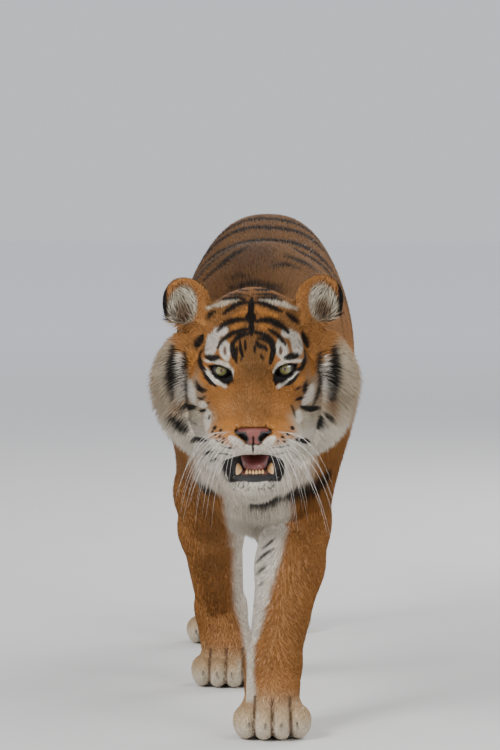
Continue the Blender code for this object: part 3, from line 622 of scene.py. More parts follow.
def normalsOf(mesh):
    out = np.empty(len(mesh.vertices) * 3)
    mesh.vertex_normals.foreach_get("vector", out)
    return out.reshape(-1, 3)


def refined(made, chosen, cuts, field, reach):
    # cuts the chosen faces finer and settles their new points
    def cut(work):
        work.verts.ensure_lookup_table()
        picked = chosen(np.array([v.co for v in work.verts]))
        edges = [e for e in work.edges if picked[e.verts[0].index] and picked[e.verts[1].index]]
        bmesh.ops.subdivide_edges(work, edges=edges, cuts=cuts, use_grid_fill=True)
        bmesh.ops.triangulate(work, faces=[f for f in work.faces if len(f.verts) > 4])

    rework(made, cut)
    points = places(made.data)
    near = chosen(points)
    points[near] = settled(points[near], field, reach)
    setPlaces(made.data, points)


def keepLargest(made):
    def trim(work):
        left, islands = set(work.verts), []
        while left:
            stack, island = [left.pop()], []
            while stack:
                v = stack.pop()
                island.append(v)
                joined = [e.other_vert(v) for e in v.link_edges]
                fresh = [other for other in joined if other in left]
                left.difference_update(fresh)
                stack += fresh
            islands.append(island)
        for island in sorted(islands, key=len)[:-1]:
            bmesh.ops.delete(work, geom=island, context="VERTS")

    rework(made, trim)


muscles = allMuscles()
headOnly = headMuscles(fine=False)


def headShare(p):
    # 1 on the head, 0 on the body, by how near the head's own shapes are
    share = np.zeros(len(p))
    near = p[:, 1] < -0.12
    share[near] = step(fleshAt(p[near], headOnly), 0.026, 0.010)
    return share


def skinField(p):
    return fleshAt(p, muscles) + coatDepth(p)


def onFace(p):
    q = toHead(p)
    return (q[:, 1] > -0.085) & (p[:, 2] > 0.40) & (np.abs(q[:, 0]) < 0.20)


def onEyesAndLips(p):
    q = toHead(p)
    eye = np.hypot(np.abs(q[:, 0]) - 0.060, q[:, 2]) < 0.030
    lips = (q[:, 2] < -0.060) & (q[:, 2] > -0.185) & (np.abs(q[:, 0]) < 0.075) & (q[:, 1] > 0.02)
    return (eye | lips) & (q[:, 1] > -0.01)


def onEars(p):
    q = toHead(p)
    return (q[:, 2] > 0.045) & (np.abs(q[:, 0]) > 0.085) & (q[:, 1] > -0.15) & (q[:, 1] <= -0.075)


def onPaws(p):
    return p[:, 2] < 0.135


def makeSkin():
    solid = [m for m in muscles if not m.hollow]
    low = np.min([m.low for m in solid], axis=0) - 2 * skin["cell"]
    high = np.max([m.high for m in solid], axis=0) + 2 * skin["cell"]
    points, quads = netOf(skinField, low, high, skin["cell"])
    made = newObject("skin", points, quads)
    keepLargest(made)
    refined(made, onFace, 2, skinField, 0.006)
    refined(made, onEars, 1, skinField, 0.004)
    refined(made, onEyesAndLips, 1, skinField, 0.003)
    refined(made, onPaws, 1, skinField, 0.004)
    points = places(made.data)
    points[:, 2] = np.maximum(points[:, 2], 0.0004)  # flat soles
    setPlaces(made.data, points)
    return made


# the CAD model is centred on its own box, so the eye says how far it was moved
eyeBox = np.array(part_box("eye_left"))
shift = eyeBox.mean(0) - fromHead(eyePlace)
print("moved by", shift.round(4))

skinObject = makeSkin()
print("skin,", len(skinObject.data.polygons), "faces")
skinTree = BVHTree.FromPolygons([Vector(v) for v in places(skinObject.data)],
                                [tuple(f.vertices) for f in skinObject.data.polygons])

# markings, laid out on the face as seen from straight ahead: across, and up from the eyes
coatColours = {
    "orange": (0.39, 0.172, 0.050), "deep": (0.205, 0.100, 0.034), "face": (0.53, 0.222, 0.050),
    "white": (0.80, 0.73, 0.62), "cream": (0.64, 0.56, 0.42),
    "black": (0.009, 0.007, 0.006), "brown": (0.13, 0.060, 0.024), "paw": (0.66, 0.52, 0.32),
    "gum": (0.012, 0.009, 0.009), "throat": (0.085, 0.020, 0.017), "palate": (0.36, 0.13, 0.085),
    "cup": (0.60, 0.54, 0.42),
}
faceAhead = {"down": math.radians(3.65), "middle": (0, 0.026, 0.006)}

# black strokes on the face, in centimetres: points as (across, up), and the half width
faceStrokes = [
    ([(-0.4, 13.2), (-0.5, 11.2), (-0.4, 9.8)], 0.28), ([(-0.6, 10.3), (-0.4, 9.0)], 0.75),
    # the wide band at up 15.6 to 16.1 falls on the neck just behind the crown: painted shade
    ([(-0.4, 9.0), (-0.3, 6.4)], 0.40), ([(-5.0, 15.6), (-0.5, 16.1), (4.5, 15.6)], 0.70),
    ([(-6.0, 14.5), (-3.0, 14.8), (-1.0, 14.6)], 0.22), ([(0.0, 14.8), (3.0, 14.8), (5.5, 14.4)], 0.28),
    ([(-7.0, 13.2), (-5.5, 13.7), (-3.0, 14.0), (-1.0, 13.6)], 0.17),
    ([(-0.2, 13.9), (2.5, 14.0), (4.5, 13.6), (5.5, 13.2)], 0.17),
    ([(-6.8, 12.7), (-5.5, 13.1), (-3.5, 13.3), (-1.5, 13.0)], 0.21),
    ([(0.3, 13.2), (2.5, 13.3), (4.0, 13.1), (5.5, 12.7)], 0.19),
    ([(-5.6, 10.3), (-4.5, 11.2), (-3.5, 11.9), (-2.0, 12.4), (-0.5, 12.4)], 0.40),
    ([(-0.5, 12.4), (1.0, 12.4), (2.5, 12.0), (4.0, 11.3), (5.2, 10.7)], 0.40),
    ([(-9.2, 9.4), (-7.2, 10.7)], 0.40), ([(6.0, 10.5), (8.4, 8.5)], 0.42),
    ([(-6.7, 7.2), (-5.7, 8.2), (-4.5, 8.9), (-3.0, 9.3), (-1.2, 9.3)], 0.44),
    ([(0.5, 9.0), (2.0, 9.2), (3.2, 9.2), (4.5, 8.5), (5.8, 7.6), (6.4, 7.0)], 0.50),
    ([(-6.6, 4.1), (-5.8, 5.3), (-4.8, 6.2), (-3.5, 6.9), (-2.0, 7.4), (-0.5, 7.6)], 0.21),
    ([(0.2, 7.0), (1.6, 6.6), (2.7, 6.0), (3.4, 5.2), (3.7, 4.0), (3.5, 2.5), (3.2, 1.3)], 0.27),
    ([(2.8, 7.5), (4.0, 6.8), (5.0, 5.9), (5.9, 4.7)], 0.20),
    ([(-3.6, 5.0), (-3.0, 5.9), (-2.0, 6.5), (-0.8, 6.7)], 0.25),
    ([(-3.8, 5.2), (-3.8, 3.8), (-3.4, 2.0)], 0.25),
    ([(-3.0, 4.3), (-3.1, 2.5), (-3.0, 1.2)], 0.13),
    ([(-2.4, 5.5), (-2.4, 4.3), (-1.9, 2.5), (-2.2, 1.8)], 0.15),
    ([(-1.5, 5.5), (-1.4, 3.5)], 0.12), ([(0.6, 5.2), (1.2, 4.4), (2.0, 4.2), (2.6, 3.6)], 0.22),
    ([(0.8, 5.9), (2.0, 5.6), (2.7, 4.9)], 0.15), ([(1.4, 2.8), (1.9, 1.9)], 0.13),
    ([(0.3, 4.6), (0.3, 3.2)], 0.12), ([(-8.6, 2.5), (-7.5, 2.2), (-6.3, 2.3)], 0.50),
    ([(5.9, 2.2), (7.0, 2.5), (8.2, 2.8)], 0.50),
    ([(-9.7, 3.3), (-9.8, 1.8), (-9.5, 0.4), (-8.8, 0.1)], 0.42),
    ([(9.2, 3.3), (9.3, 1.8), (8.8, 0.4), (8.1, 0.0)], 0.42),
    ([(-10.9, 4.5), (-10.1, 5.4), (-9.4, 6.4)], 0.64),
    ([(8.7, 6.9), (9.4, 5.5), (9.9, 4.4)], 0.60),
    ([(-9.3, -0.2), (-8.7, -1.3), (-7.8, -2.3), (-6.8, -3.0)], 0.28),
    ([(8.3, -0.7), (7.6, -1.7), (6.7, -2.4), (5.8, -2.9)], 0.25), ([(-4.7, -1.5), (-4.4, -2.7)], 0.28),
    ([(4.3, -1.4), (4.2, -2.7)], 0.30), ([(-10.4, -2.1), (-10.2, -3.2), (-9.3, -3.9), (-8.7, -3.7)], 0.36),
    ([(9.7, -2.2), (9.4, -4.2)], 0.34), ([(7.9, -3.6), (8.6, -3.2)], 0.17),
    ([(-12.6, 3.2), (-12.8, 1.0), (-12.9, -1.5), (-12.7, -4.4), (-12.2, -6.8)], 0.46),
    ([(12.1, 3.2), (12.3, 1.0), (12.3, -1.8), (11.8, -4.2), (10.9, -6.5)], 0.44),
    ([(-13.6, -7.1), (-12.4, -6.9), (-10.5, -6.9)], 0.50),
    ([(8.7, -6.8), (10.2, -7.2), (12.2, -6.9)], 0.42),
    ([(-9.9, -7.6), (-8.5, -7.4)], 0.25),
    ([(-14.9, 4.2), (-15.1, 1.5), (-15.2, -1.5), (-15.0, -4.9)], 0.92),
    ([(14.7, 4.2), (14.8, 1.5), (14.7, -2.0), (14.3, -5.3)], 0.88),
    ([(-16.0, -7.8), (-14.6, -9.4), (-12.6, -11.3)], 0.85),
    ([(-13.0, -8.3), (-11.5, -9.5), (-10.0, -10.3)], 0.18), ([(12.3, -8.7), (12.1, -10.7)], 0.75),
    ([(13.0, -8.0), (15.3, -9.6)], 0.42), ([(-10.4, -5.1), (-9.4, -5.4), (-8.7, -4.8)], 0.22),
    ([(7.8, -5.5), (9.3, -5.0)], 0.22), ([(-8.6, -6.2), (-7.9, -5.9)], 0.17),
    ([(-8.1, -9.0), (-7.8, -8.2)], 0.17),
    ([(7.1, -6.4), (7.9, -8.8)], 0.17), ([(-11.6, -12.9), (-8.7, -12.8)], 0.45),
    ([(-10.0, -15.6), (-7.8, -15.1)], 0.28),
    ([(-8.8, -17.3), (-7.0, -16.4)], 0.28), ([(8.1, -12.6), (10.1, -13.3)], 0.48),
    ([(-6.9, -10.5), (-6.7, -10.6)], 0.30), ([(-5.8, -11.0), (-5.6, -11.0)], 0.20),
    ([(-7.3, -11.2), (-7.2, -11.3)], 0.18),
    ([(-6.7, -11.7), (-6.6, -11.8)], 0.19), ([(-5.9, -12.1), (-5.7, -12.1)], 0.21),
    ([(-5.2, -12.5), (-5.0, -12.6)], 0.18),
    ([(-6.4, -12.9), (-6.3, -12.9)], 0.19), ([(-5.4, -13.1), (-5.3, -13.2)], 0.19),
    ([(7.3, -10.4), (7.3, -10.7)], 0.30),
    ([(6.6, -11.6), (6.4, -11.7)], 0.21), ([(5.6, -12.1), (5.5, -12.2)], 0.19),
    ([(4.8, -12.9), (4.7, -12.9)], 0.19),
    ([(6.0, -12.9), (5.9, -13.0)], 0.18), ([(-6.0, -13.6), (-4.6, -14.1), (-3.5, -14.2)], 0.11),
    ([(-6.4, -15.2), (-5.1, -15.2), (-3.7, -15.5)], 0.09),
    ([(3.8, -14.1), (5.2, -14.0), (6.6, -13.7)], 0.11),
    ([(3.5, -15.4), (5.0, -15.2), (6.4, -15.0)], 0.09), ([(0.15, -13.4), (0.15, -15.0)], 0.17),
    ([(-4.0, -16.4), (-5.2, -17.4), (-5.4, -18.8), (-4.9, -20.3)], 0.62),
    ([(4.3, -16.2), (5.2, -17.3), (5.3, -18.8), (4.9, -20.0)], 0.55),
    ([(-5.0, -20.4), (-2.6, -19.9), (0.0, -19.7), (2.6, -19.8), (5.0, -20.1)], 0.50),
    ([(-3.9, -16.9), (-4.0, -18.0), (-3.9, -19.3)], 1.10),
    ([(4.0, -16.8), (4.1, -18.0), (3.9, -19.2)], 1.10),
    ([(-0.8, -25.3), (1.5, -24.8), (3.5, -24.0), (5.5, -23.4)], 1.15),
    ([(4.5, -23.6), (8.0, -23.0), (10.5, -22.4), (12.5, -20.9), (13.8, -19.3)], 1.25),
    ([(-11.4, -20.6), (-10.0, -21.8), (-8.5, -22.7), (-7.2, -23.4)], 0.80),
    ([(-7.8, -29.2), (-4.5, -30.0), (-0.5, -30.9)], 0.50), ([(0.0, -39.2), (1.9, -37.6)], 0.22),
    ([(0.0, -37.0), (1.6, -35.4), (3.2, -34.4)], 0.20), ([(1.2, -34.4), (3.6, -32.4)], 0.18),
    ([(0.6, -41.2), (1.5, -40.6)], 0.14), ([(-10.4, 17.7), (-8.0, 19.7), (-4.9, 22.4), (-2.1, 24.0)], 0.62),
    ([(5.3, 22.2), (9.3, 20.8), (11.8, 18.9)], 0.55),
    ([(-8.8, 23.0), (-4.9, 25.2), (1.0, 25.8), (6.9, 25.2)], 0.60),
    ([(-12.2, 19.2), (-10.0, 22.6)], 0.45), ([(-6.0, 16.9), (-3.0, 17.8), (-1.0, 17.3)], 0.40),
    ([(2.5, 19.8), (5.5, 20.4), (8.0, 19.6)], 0.40),
]
# coloured strokes under the black ones
paintStrokes = [
    ("white", [([(-7.9, 3.0), (-7.8, 4.9), (-6.9, 6.7)], 1.15), ([(-7.0, 6.9), (-5.2, 7.4)], 0.85),
               ([(-5.7, 5.2), (-5.2, 4.0), (-4.9, 2.2)], 0.85),
               ([(-8.8, 1.7), (-6.5, 1.5), (-4.9, 1.0), (-4.0, 0.0), (-3.7, -1.2)], 0.30),
               ([(-8.6, 0.0), (-7.8, -1.3), (-6.6, -2.2), (-5.5, -2.6), (-5.0, -3.1)], 0.42),
               ([(8.1, 3.2), (8.1, 5.0), (7.2, 6.6)], 1.10), ([(7.0, 6.7), (5.6, 6.8)], 0.75),
               ([(5.0, 5.4), (5.3, 3.8), (5.6, 2.2)], 0.90),
               ([(8.6, 1.7), (6.2, 1.8), (4.6, 1.0), (3.8, -0.4)], 0.32),
               ([(8.1, -0.2), (7.3, -1.5), (6.1, -2.2), (5.1, -2.7), (4.7, -3.1)], 0.42),
               ([(-11.6, -2.3), (-11.4, -4.5), (-10.8, -6.0)], 0.80), ([(-9.8, -6.3), (-8.6, -6.6)], 0.50),
               ([(-8.3, -7.6), (-8.4, -9.0), (-8.3, -10.5)], 0.75),
               ([(10.7, -3.0), (10.3, -4.8), (9.2, -6.2)], 0.65),
               ([(8.4, -7.6), (8.4, -9.5)], 0.65), ([(-13.8, 3.0), (-13.9, -1.8), (-13.7, -5.6)], 0.62),
               ([(13.4, 2.6), (13.4, -2.2), (13.0, -5.4)], 0.50),
               ([(-7.2, -13.0), (-5.6, -14.8), (-2.5, -15.4)], 0.85),
               ([(7.4, -13.0), (5.8, -14.8), (2.6, -15.2)], 0.85), ([(-3.8, -12.4), (-1.6, -14.0)], 0.66),
               ([(4.0, -12.4), (1.8, -14.0)], 0.66), ([(-1.6, -14.1), (0.1, -14.0), (1.8, -14.1)], 0.55)]),
    ("cream", [([(-9.2, 11.4), (-7.2, 11.8), (-5.0, 12.5), (-3.0, 12.8)], 0.26),
               ([(1.2, 12.9), (3.5, 12.6), (5.8, 12.0), (7.8, 11.2)], 0.28),
               ([(-11.0, -8.3), (-9.6, -9.2)], 0.80), ([(9.6, -8.6), (10.0, -10.2)], 0.90)]),
    ("face", [([(-9.6, -0.9), (-8.9, -2.3)], 0.45), ([(9.1, -1.4), (8.0, -2.6)], 0.40),
              ([(-11.2, 3.2), (-11.3, 1.0), (-11.3, -1.2)], 0.80),
              ([(10.6, 2.6), (10.8, 0.5), (10.8, -1.0)], 0.60),
              ([(-3.8, 9.6), (-2.0, 10.4), (-1.0, 11.4)], 0.50),
              ([(4.2, 9.8), (2.0, 10.4), (0.6, 11.4)], 0.55),
              ([(-3.8, 7.9), (-2.2, 8.4)], 0.45), ([(1.2, 8.1), (3.0, 7.8)], 0.45)]),
    ("brown", [([(-5.2, 4.1), (-5.1, 2.9)], 0.15), ([(5.0, 4.1), (5.1, 2.9)], 0.15)]),
]

# wide places on the face, in metres: middle, half sizes, softness, colour and how strong
faceFields = [
    ((0.000, 0.110), (0.085, 0.050), 0.6, "deep", 0.35),
    ((0.000, -0.035), (0.078, 0.085), 0.5, "face", 0.95),
    ((0.000, 0.030), (0.026, 0.040), 0.7, "deep", 0.65),
    ((0.004, -0.035), (0.034, 0.070), 0.8, "deep", 0.40),
    ((0.182, -0.030), (0.034, 0.105), 0.4, "cream", 0.95),
    ((0.118, -0.060), (0.022, 0.050), 0.7, "cream", 0.60),
    ((0.112, -0.110), (0.040, 0.040), 0.6, "cream", 0.9),
    ((0.092, -0.175), (0.062, 0.055), 0.5, "white", 0.9),
    ((0.130, -0.150), (0.040, 0.050), 0.5, "cream", 0.9),
    ((0.000, -0.205), (0.070, 0.050), 0.35, "white", 1.0),
    ((0.080, -0.124), (0.011, 0.020), 0.6, "white", 0.9),
    ((0.054, -0.112), (0.024, 0.020), 0.6, "face", 0.80),
]


def aheadFrame():
    c, s = math.cos(faceAhead["down"]), math.sin(faceAhead["down"])
    across, up, away = np.array((1.0, 0, 0)), np.array((0, s, c)), np.array((0, c, -s))
    return fromHead(faceAhead["middle"]), across, up, away


def flattened(p):
    # places as across, up and a reduced depth, so strokes keep their width on slopes
    middle, across, up, away = aheadFrame()
    return np.stack([(p - middle) @ across, (p - middle) @ up, 0.38 * ((p - middle) @ away)], 1)


def faceSpot(across, up):
    # the place on the skin that lies at this spot, seen from ahead
    middle, a, u, away = aheadFrame()
    hit = skinTree.ray_cast(Vector(middle + a * across + u * up - away * 0.6), Vector(away))
    return np.array(hit[0]) if hit[0] else None


def hash3(p, scale, seed):
    # soft noise from -1 to 1 at places in space
    q = p * scale + seed * 17.13
    base = np.floor(q)
    f = q - base
    f = f * f * (3 - 2 * f)
    total = np.zeros(len(p))
    for corner in itertools.product((0, 1), repeat=3):
        v = np.sin((base + corner) @ np.array((127.1, 311.7, 74.7)) + seed) * 43758.5453
        v = (v - np.floor(v)) * 2 - 1
        wx, wy, wz = (f[:, n] if far else 1 - f[:, n] for n, far in enumerate(corner))
        total += v * (wx * wy) * wz
    return total


def strokeSpots(strokes, grow):
    # strokes as rows of dots on the skin, each with its own radius
    spots, radii = [], []
    for line, half in strokes:
        pts = np.array(line) * 0.01
        gaps = np.linalg.norm(np.diff(pts, axis=0), axis=1)
        whole = np.concatenate([[0], np.cumsum(gaps)])
        share = 1.5 if half < 0.3 and line[0][1] > 1 else 0.9  # fine lines on the brow are drawn wider
        for t in np.linspace(0, whole[-1], max(3, int(whole[-1] / 0.0016))):
            spot = faceSpot(np.interp(t, whole, pts[:, 0]), np.interp(t, whole, pts[:, 1]))
            if spot is not None:
                spots.append(flattened(spot[None])[0])
                radii.append(half * 0.01 * grow * share * (0.55 + 0.62 * math.sin(math.pi * t / whole[-1])))
    return np.array(spots), np.array(radii)


def strokeInk(p, dots):
    # how far places are outside a set of strokes
    spots, radii = dots
    p = flattened(p)
    low, high = spots.min(0) - 0.02, spots.max(0) + 0.02
    near = np.nonzero(((p > low) & (p < high)).all(1))[0]
    ink = np.full(len(p), 1.0)
    for start in range(0, len(near), 4000):
        block = near[start:start + 4000]
        far = np.sqrt(((p[block][:, None] - spots[None]) ** 2).sum(2)) - radii
        ink[block] = far.min(1)
    return ink


faceDots = strokeSpots(faceStrokes, 1.28)
paintDots = [(name, strokeSpots(strokes, 1.12)) for name, strokes in paintStrokes]

# stripes on the body, seen from the side: each a bent line that tapers
stripeRules = {"first": 0.02, "last": 1.02, "gap": 0.094, "seed": 5, "meet": 0.090, "half": 0.016}


def bodyStripes():
    chance = random.Random(stripeRules["seed"])
    found = {1: [], -1: []}
    y = stripeRules["first"]
    while y < stripeRules["last"]:
        for side in (1, -1):
            at = y + chance.uniform(-0.016, 0.016)
            rear = min(1, max(0, (at - 0.55) / 0.45))
            fore = min(1, max(0, (0.20 - at) / 0.25))
            reach = chance.uniform(0.22, 0.36) - 0.14 * fore + 0.06 * rear
            half = chance.uniform(0.0125, 0.0200)
            slant = chance.uniform(-0.03, 0.03)
            split = chance.random() < 0.40 and fore < 0.3
            bow = chance.uniform(-0.022, 0.022)
            found[side].append((at, 0.975, at + slant, 0.93 - reach, half, bow, split, y))
            if chance.random() < 0.75:
                low = chance.uniform(0.42, 0.50)
                tall = chance.uniform(0.08, 0.18)
                off = at + stripeRules["gap"] / 2
                end = off + chance.uniform(-0.03, 0.03)
                bow = chance.uniform(-0.015, 0.015)
                found[side].append((off, low + tall, end, low, half * 0.75, bow, False, off))
        y += stripeRules["gap"] * chance.uniform(0.85, 1.15)
    return found


sideStripes = bodyStripes()


def stripeInk(p):
    # how far outside the nearest body stripe
    wobble = hash3(p, 9.0, 3) * 0.010 + hash3(p, 28.0, 4) * 0.004
    ink = np.full(len(p), 1.0)
    for side in (1, -1):
        mine = p[:, 0] * side > 0
        y, z = p[mine, 1] + wobble[mine], p[mine, 2]
        spine = step(np.abs(p[mine, 0]), stripeRules["meet"], 0.0)
        best = np.full(mine.sum(), 1.0)
        for y0, z0, y1, z1, half, bow, split, shared in sideStripes[side]:
            t = np.clip((z0 - z) / (z0 - z1), 0, 1)
            centre = y0 + (y1 - y0) * t + bow * np.sin(math.pi * t) + (shared - y0) * spine
            over = np.maximum(0, z1 - z) + np.maximum(0, z - z0 - 0.02)
            wide = mixed(half, stripeRules["half"], spine) * np.sqrt(1.02 - t)
            wide = wide * (0.75 + 0.5 * np.sin(math.pi * np.minimum(1, t * 1.3)))
            off = np.abs(y - centre)
            if split:
                hollow = 0.018 * np.sin(math.pi * np.clip((t - 0.15) / 0.7, 0, 1)) ** 2
                off = np.abs(off - hollow)
                wide = wide * mixed(1.0, 0.62, np.clip(hollow / 0.01, 0, 1))
            best = np.minimum(best, np.hypot(off, over) - wide)
        ink[mine] = best
    return ink


def bandInk(value, bands):
    # how far outside the nearest of some bands
    return np.min([np.abs(value - at) - half for at, half in zip(bands["at"], bands["half"])], axis=0)


mouthRoom = bone(mouth["back"], mouth["front"], *mouth["radii"], thin=mouth["width"])
pawTips = [np.array([tip[:] for _, tip, _ in toes(joints["knuckles"], joints["turn"], sizes)])
           for joints, sizes in legs]


def toeCreaseShade(p):
    # 1 in the creases between two toes, where shade is painted
    gap = np.zeros(len(p))
    for tips in pawTips:
        near = np.nonzero((np.hypot(*(p - tips.mean(0))[:, :2].T) < 0.10) & (p[:, 2] < 0.080))[0]
        off = (p[near][:, None] - tips[None])[:, :, :2] * (1.0, 0.30)
        far = np.sort(np.hypot(off[:, :, 0], off[:, :, 1]), axis=1)
        ahead = step(p[near, 1] - tips[:, 1].mean(), 0.035, 0.015)
        gap[near] = step(far[:, 1] - far[:, 0], 0.0095, 0.0025) * ahead
    return gap


def lipShare(q):
    # the bare black edge of the lips: a narrow one above, a broad one below and at the corners
    room = mouthRoom.distance(q)
    corner = 0.0040 * step(np.abs(q[:, 0]), 0.026, 0.034)
    lower = step(room - corner, 0.0125, 0.0105) * step(q[:, 2], -0.143, -0.150)
    return np.maximum(lower, step(room, 0.0040, 0.0025)) * step(q[:, 1], 0.0, 0.02)


def throatShare(q, n):
    inside = step(mouthRoom.distance(q), 0.006, 0.002) * step(q[:, 1], 0.128, 0.118)
    roof = step(q[:, 2], -0.150, -0.142) * step(n[:, 2], -0.2, -0.5)
    floor = step(q[:, 2], -0.156, -0.166) * step(n[:, 2], 0.3, 0.6) * step(np.abs(q[:, 0]), 0.034, 0.028)
    return inside * roof, inside * floor


def earCup(q, forward):
    # the hollow of the ear, as far as it faces forwards
    across = (np.abs(q[:, 0]) - 0.1315) / 0.030
    up = (q[:, 2] - 0.094 + 0.2 * (np.abs(q[:, 0]) - 0.13)) / 0.043
    return step(np.hypot(across, up), 1.05, 0.80) * step(forward, -0.05, 0.20)


def onLid(q, side, low, high):
    return (q[:, 0] * side > 0) * (q[:, 1] > -0.01) * step(slitAt(q, side), low, high)


# the tail's rings by their share of its length, and the bands on the legs by their height
tailRings = {"at": np.arange(0.14, 0.92, 0.095), "half": 0.012 + 0.001 * np.arange(9), "blackTip": 0.93}
hindBands = {"at": (0.20, 0.255, 0.315, 0.37, 0.43, 0.49), "half": (0.007, 0.008, 0.009, 0.010, 0.010, 0.009)}
foreBands = {"at": (0.265, 0.325, 0.395, 0.44), "half": (0.0045, 0.004, 0.006, 0.005)}
neckBars = {"at": (-0.158, -0.205), "half": (0.008, 0.007)}


class Paint:
    # colours at many places, with others laid over them by a share
    def __init__(self, count):
        self.rgb = np.tile(coatColours["orange"], (count, 1))

    def lay(self, name, share):
        self.rgb = self.rgb + (coatColours[name] - self.rgb) * np.clip(share, 0, 1)[:, None]


def bodyColour(p, n, strokes, big, mid):
    x, y, z = p.T
    body = Paint(len(p))
    body.lay("deep", step(z, 0.62, 0.90) * 0.8 + 0.16 * big + 0.10 * hash3(p * (3, 1, 3), 14.0, 21))
    # pale belly, chest and inner legs
    under = step(n[:, 2], -0.15, -0.65) * step(z, 0.66, 0.56) * (z > 0.30)
    body.lay("white", under * np.maximum(step(y, 0.16, 0.26), step(np.abs(x), 0.075, 0.055)))
    onLegs = step(z, 0.50, 0.40)
    inner = -np.sign(x) * n[:, 0]
    foreLeftLeg = (y < 0.0) & (x > -0.02) & (z < 0.62)
    edge = mixed(0.62, 0.12, step(z, 0.12, 0.42)) + 0.10 * big + 0.05 * mid
    body.lay("white", foreLeftLeg * step(-n[:, 0], edge - 0.14, edge + 0.12) * step(z, 0.60, 0.50))
    foreRightLeg = (y < 0.45) & (x < -0.02) & (z < 0.50)
    body.lay("white", foreRightLeg * step(n[:, 0] + 0.10 * big, 0.55, 0.85) * 0.9)
    hindLegs = (y > 0.45) & (z < 0.55)
    body.lay("white", hindLegs * step(inner, 0.15, 0.65) * 0.9)
    body.lay("paw", onLegs * step(z + 0.02 * big, 0.100, 0.022) * 0.9)
    body.lay("white", onLegs * step(z, 0.050, 0.015) * 0.6)
    across, up = flattened(p)[:, :2].T
    wide = 0.040 + 0.078 * step(up, -0.255, -0.205)
    bib = step(np.abs(across + 0.006 + 0.012 * big), wide + 0.016, wide - 0.014)
    bib = bib * step(up, -0.06, -0.10) * (z > 0.30) * step(-n[:, 1] - 0.3 * n[:, 2], -0.1, 0.3) * (y < 0.06)
    body.lay("white", bib * (0.85 + 0.15 * mid))
    # painted shade in the creases between the toes
    body.lay("brown", toeCreaseShade(p) * 0.85)
    # a dark patch painted between the shoulders as shade, the strokes and the stripes
    withersShade = step(np.hypot(x + 0.01, (y + 0.14) * 0.6), 0.075, 0.020) * step(z, 0.76, 0.82)
    body.lay("brown", withersShade * (0.70 + 0.35 * big))
    body.lay("black", step(strokes, 0.0030, -0.0020) * 0.92)
    tailOff, tailShare = tailPlace(p)
    onTail = (y > 1.06) & (z < 0.86) & (tailOff < 0.07)
    onTrunk = step(z, 0.34, 0.40) * step(y, -0.16, -0.06) * step(n[:, 2], -0.80, -0.45)
    body.lay("black", step(stripeInk(p) + 0.0015 * mid, 0.0025, -0.0020) * onTrunk * ~onTail * 0.97)
    # rings on the tail and bands on the legs
    ringed = step(bandInk(tailShare + 0.006 * big, tailRings), 0.004, -0.004)
    blackTip = step(tailShare, tailRings["blackTip"], tailRings["blackTip"] + 0.02)
    body.lay("white", onTail * step(n[:, 2], 0.0, -0.7) * 0.7)
    body.lay("cream", onTail * step(tailShare, 0.55, 0.85) * 0.5)
    body.lay("black", onTail * np.maximum(ringed, blackTip))
    wave = 0.012 * big + 0.004 * mid
    banded = step(bandInk(z + 0.35 * (y - 0.9) * step(z, 0.2, 0.4) + wave, hindBands), 0.004, -0.004)
    outer = step(inner, 0.45, -0.25)
    body.lay("black", (y > 0.55) * (z > 0.14) * (z < 0.52) * ~onTail * outer * banded * 0.9)
    banded = step(bandInk(z - 0.5 * np.abs(x) + wave, foreBands), 0.003, -0.003) * (hash3(p, 14.0, 7) > -0.1)
    body.lay("black", (y < 0.45) * (z > 0.2) * (z < 0.46) * step(inner, 0.10, 0.70) * banded * 0.85)
    return body.rgb


def earColour(q, forward):
    # black behind with a pale spot, pale within
    aside = np.abs(q[:, 0])
    ears = Paint(len(q))
    behind = forward < 0.02 + 0.20 * step(aside, 0.122, 0.150)
    ears.lay("black", behind)
    ears.lay("white", step(np.hypot(aside - 0.126, q[:, 2] - 0.112), 0.024, 0.016) * behind)
    cup = earCup(q, forward)
    ears.lay("cup", cup)
    ears.lay("black", step(aside, 0.1565, 0.1605))
    # the low middle of the ear's hollow is darkened brown: painted shade in the recess
    hollow = step(np.hypot((aside - 0.130) / 0.024, (q[:, 2] - 0.082) / 0.026), 1.1, 0.3)
    ears.lay("brown", hollow * cup * 0.85)
    return ears.rgb


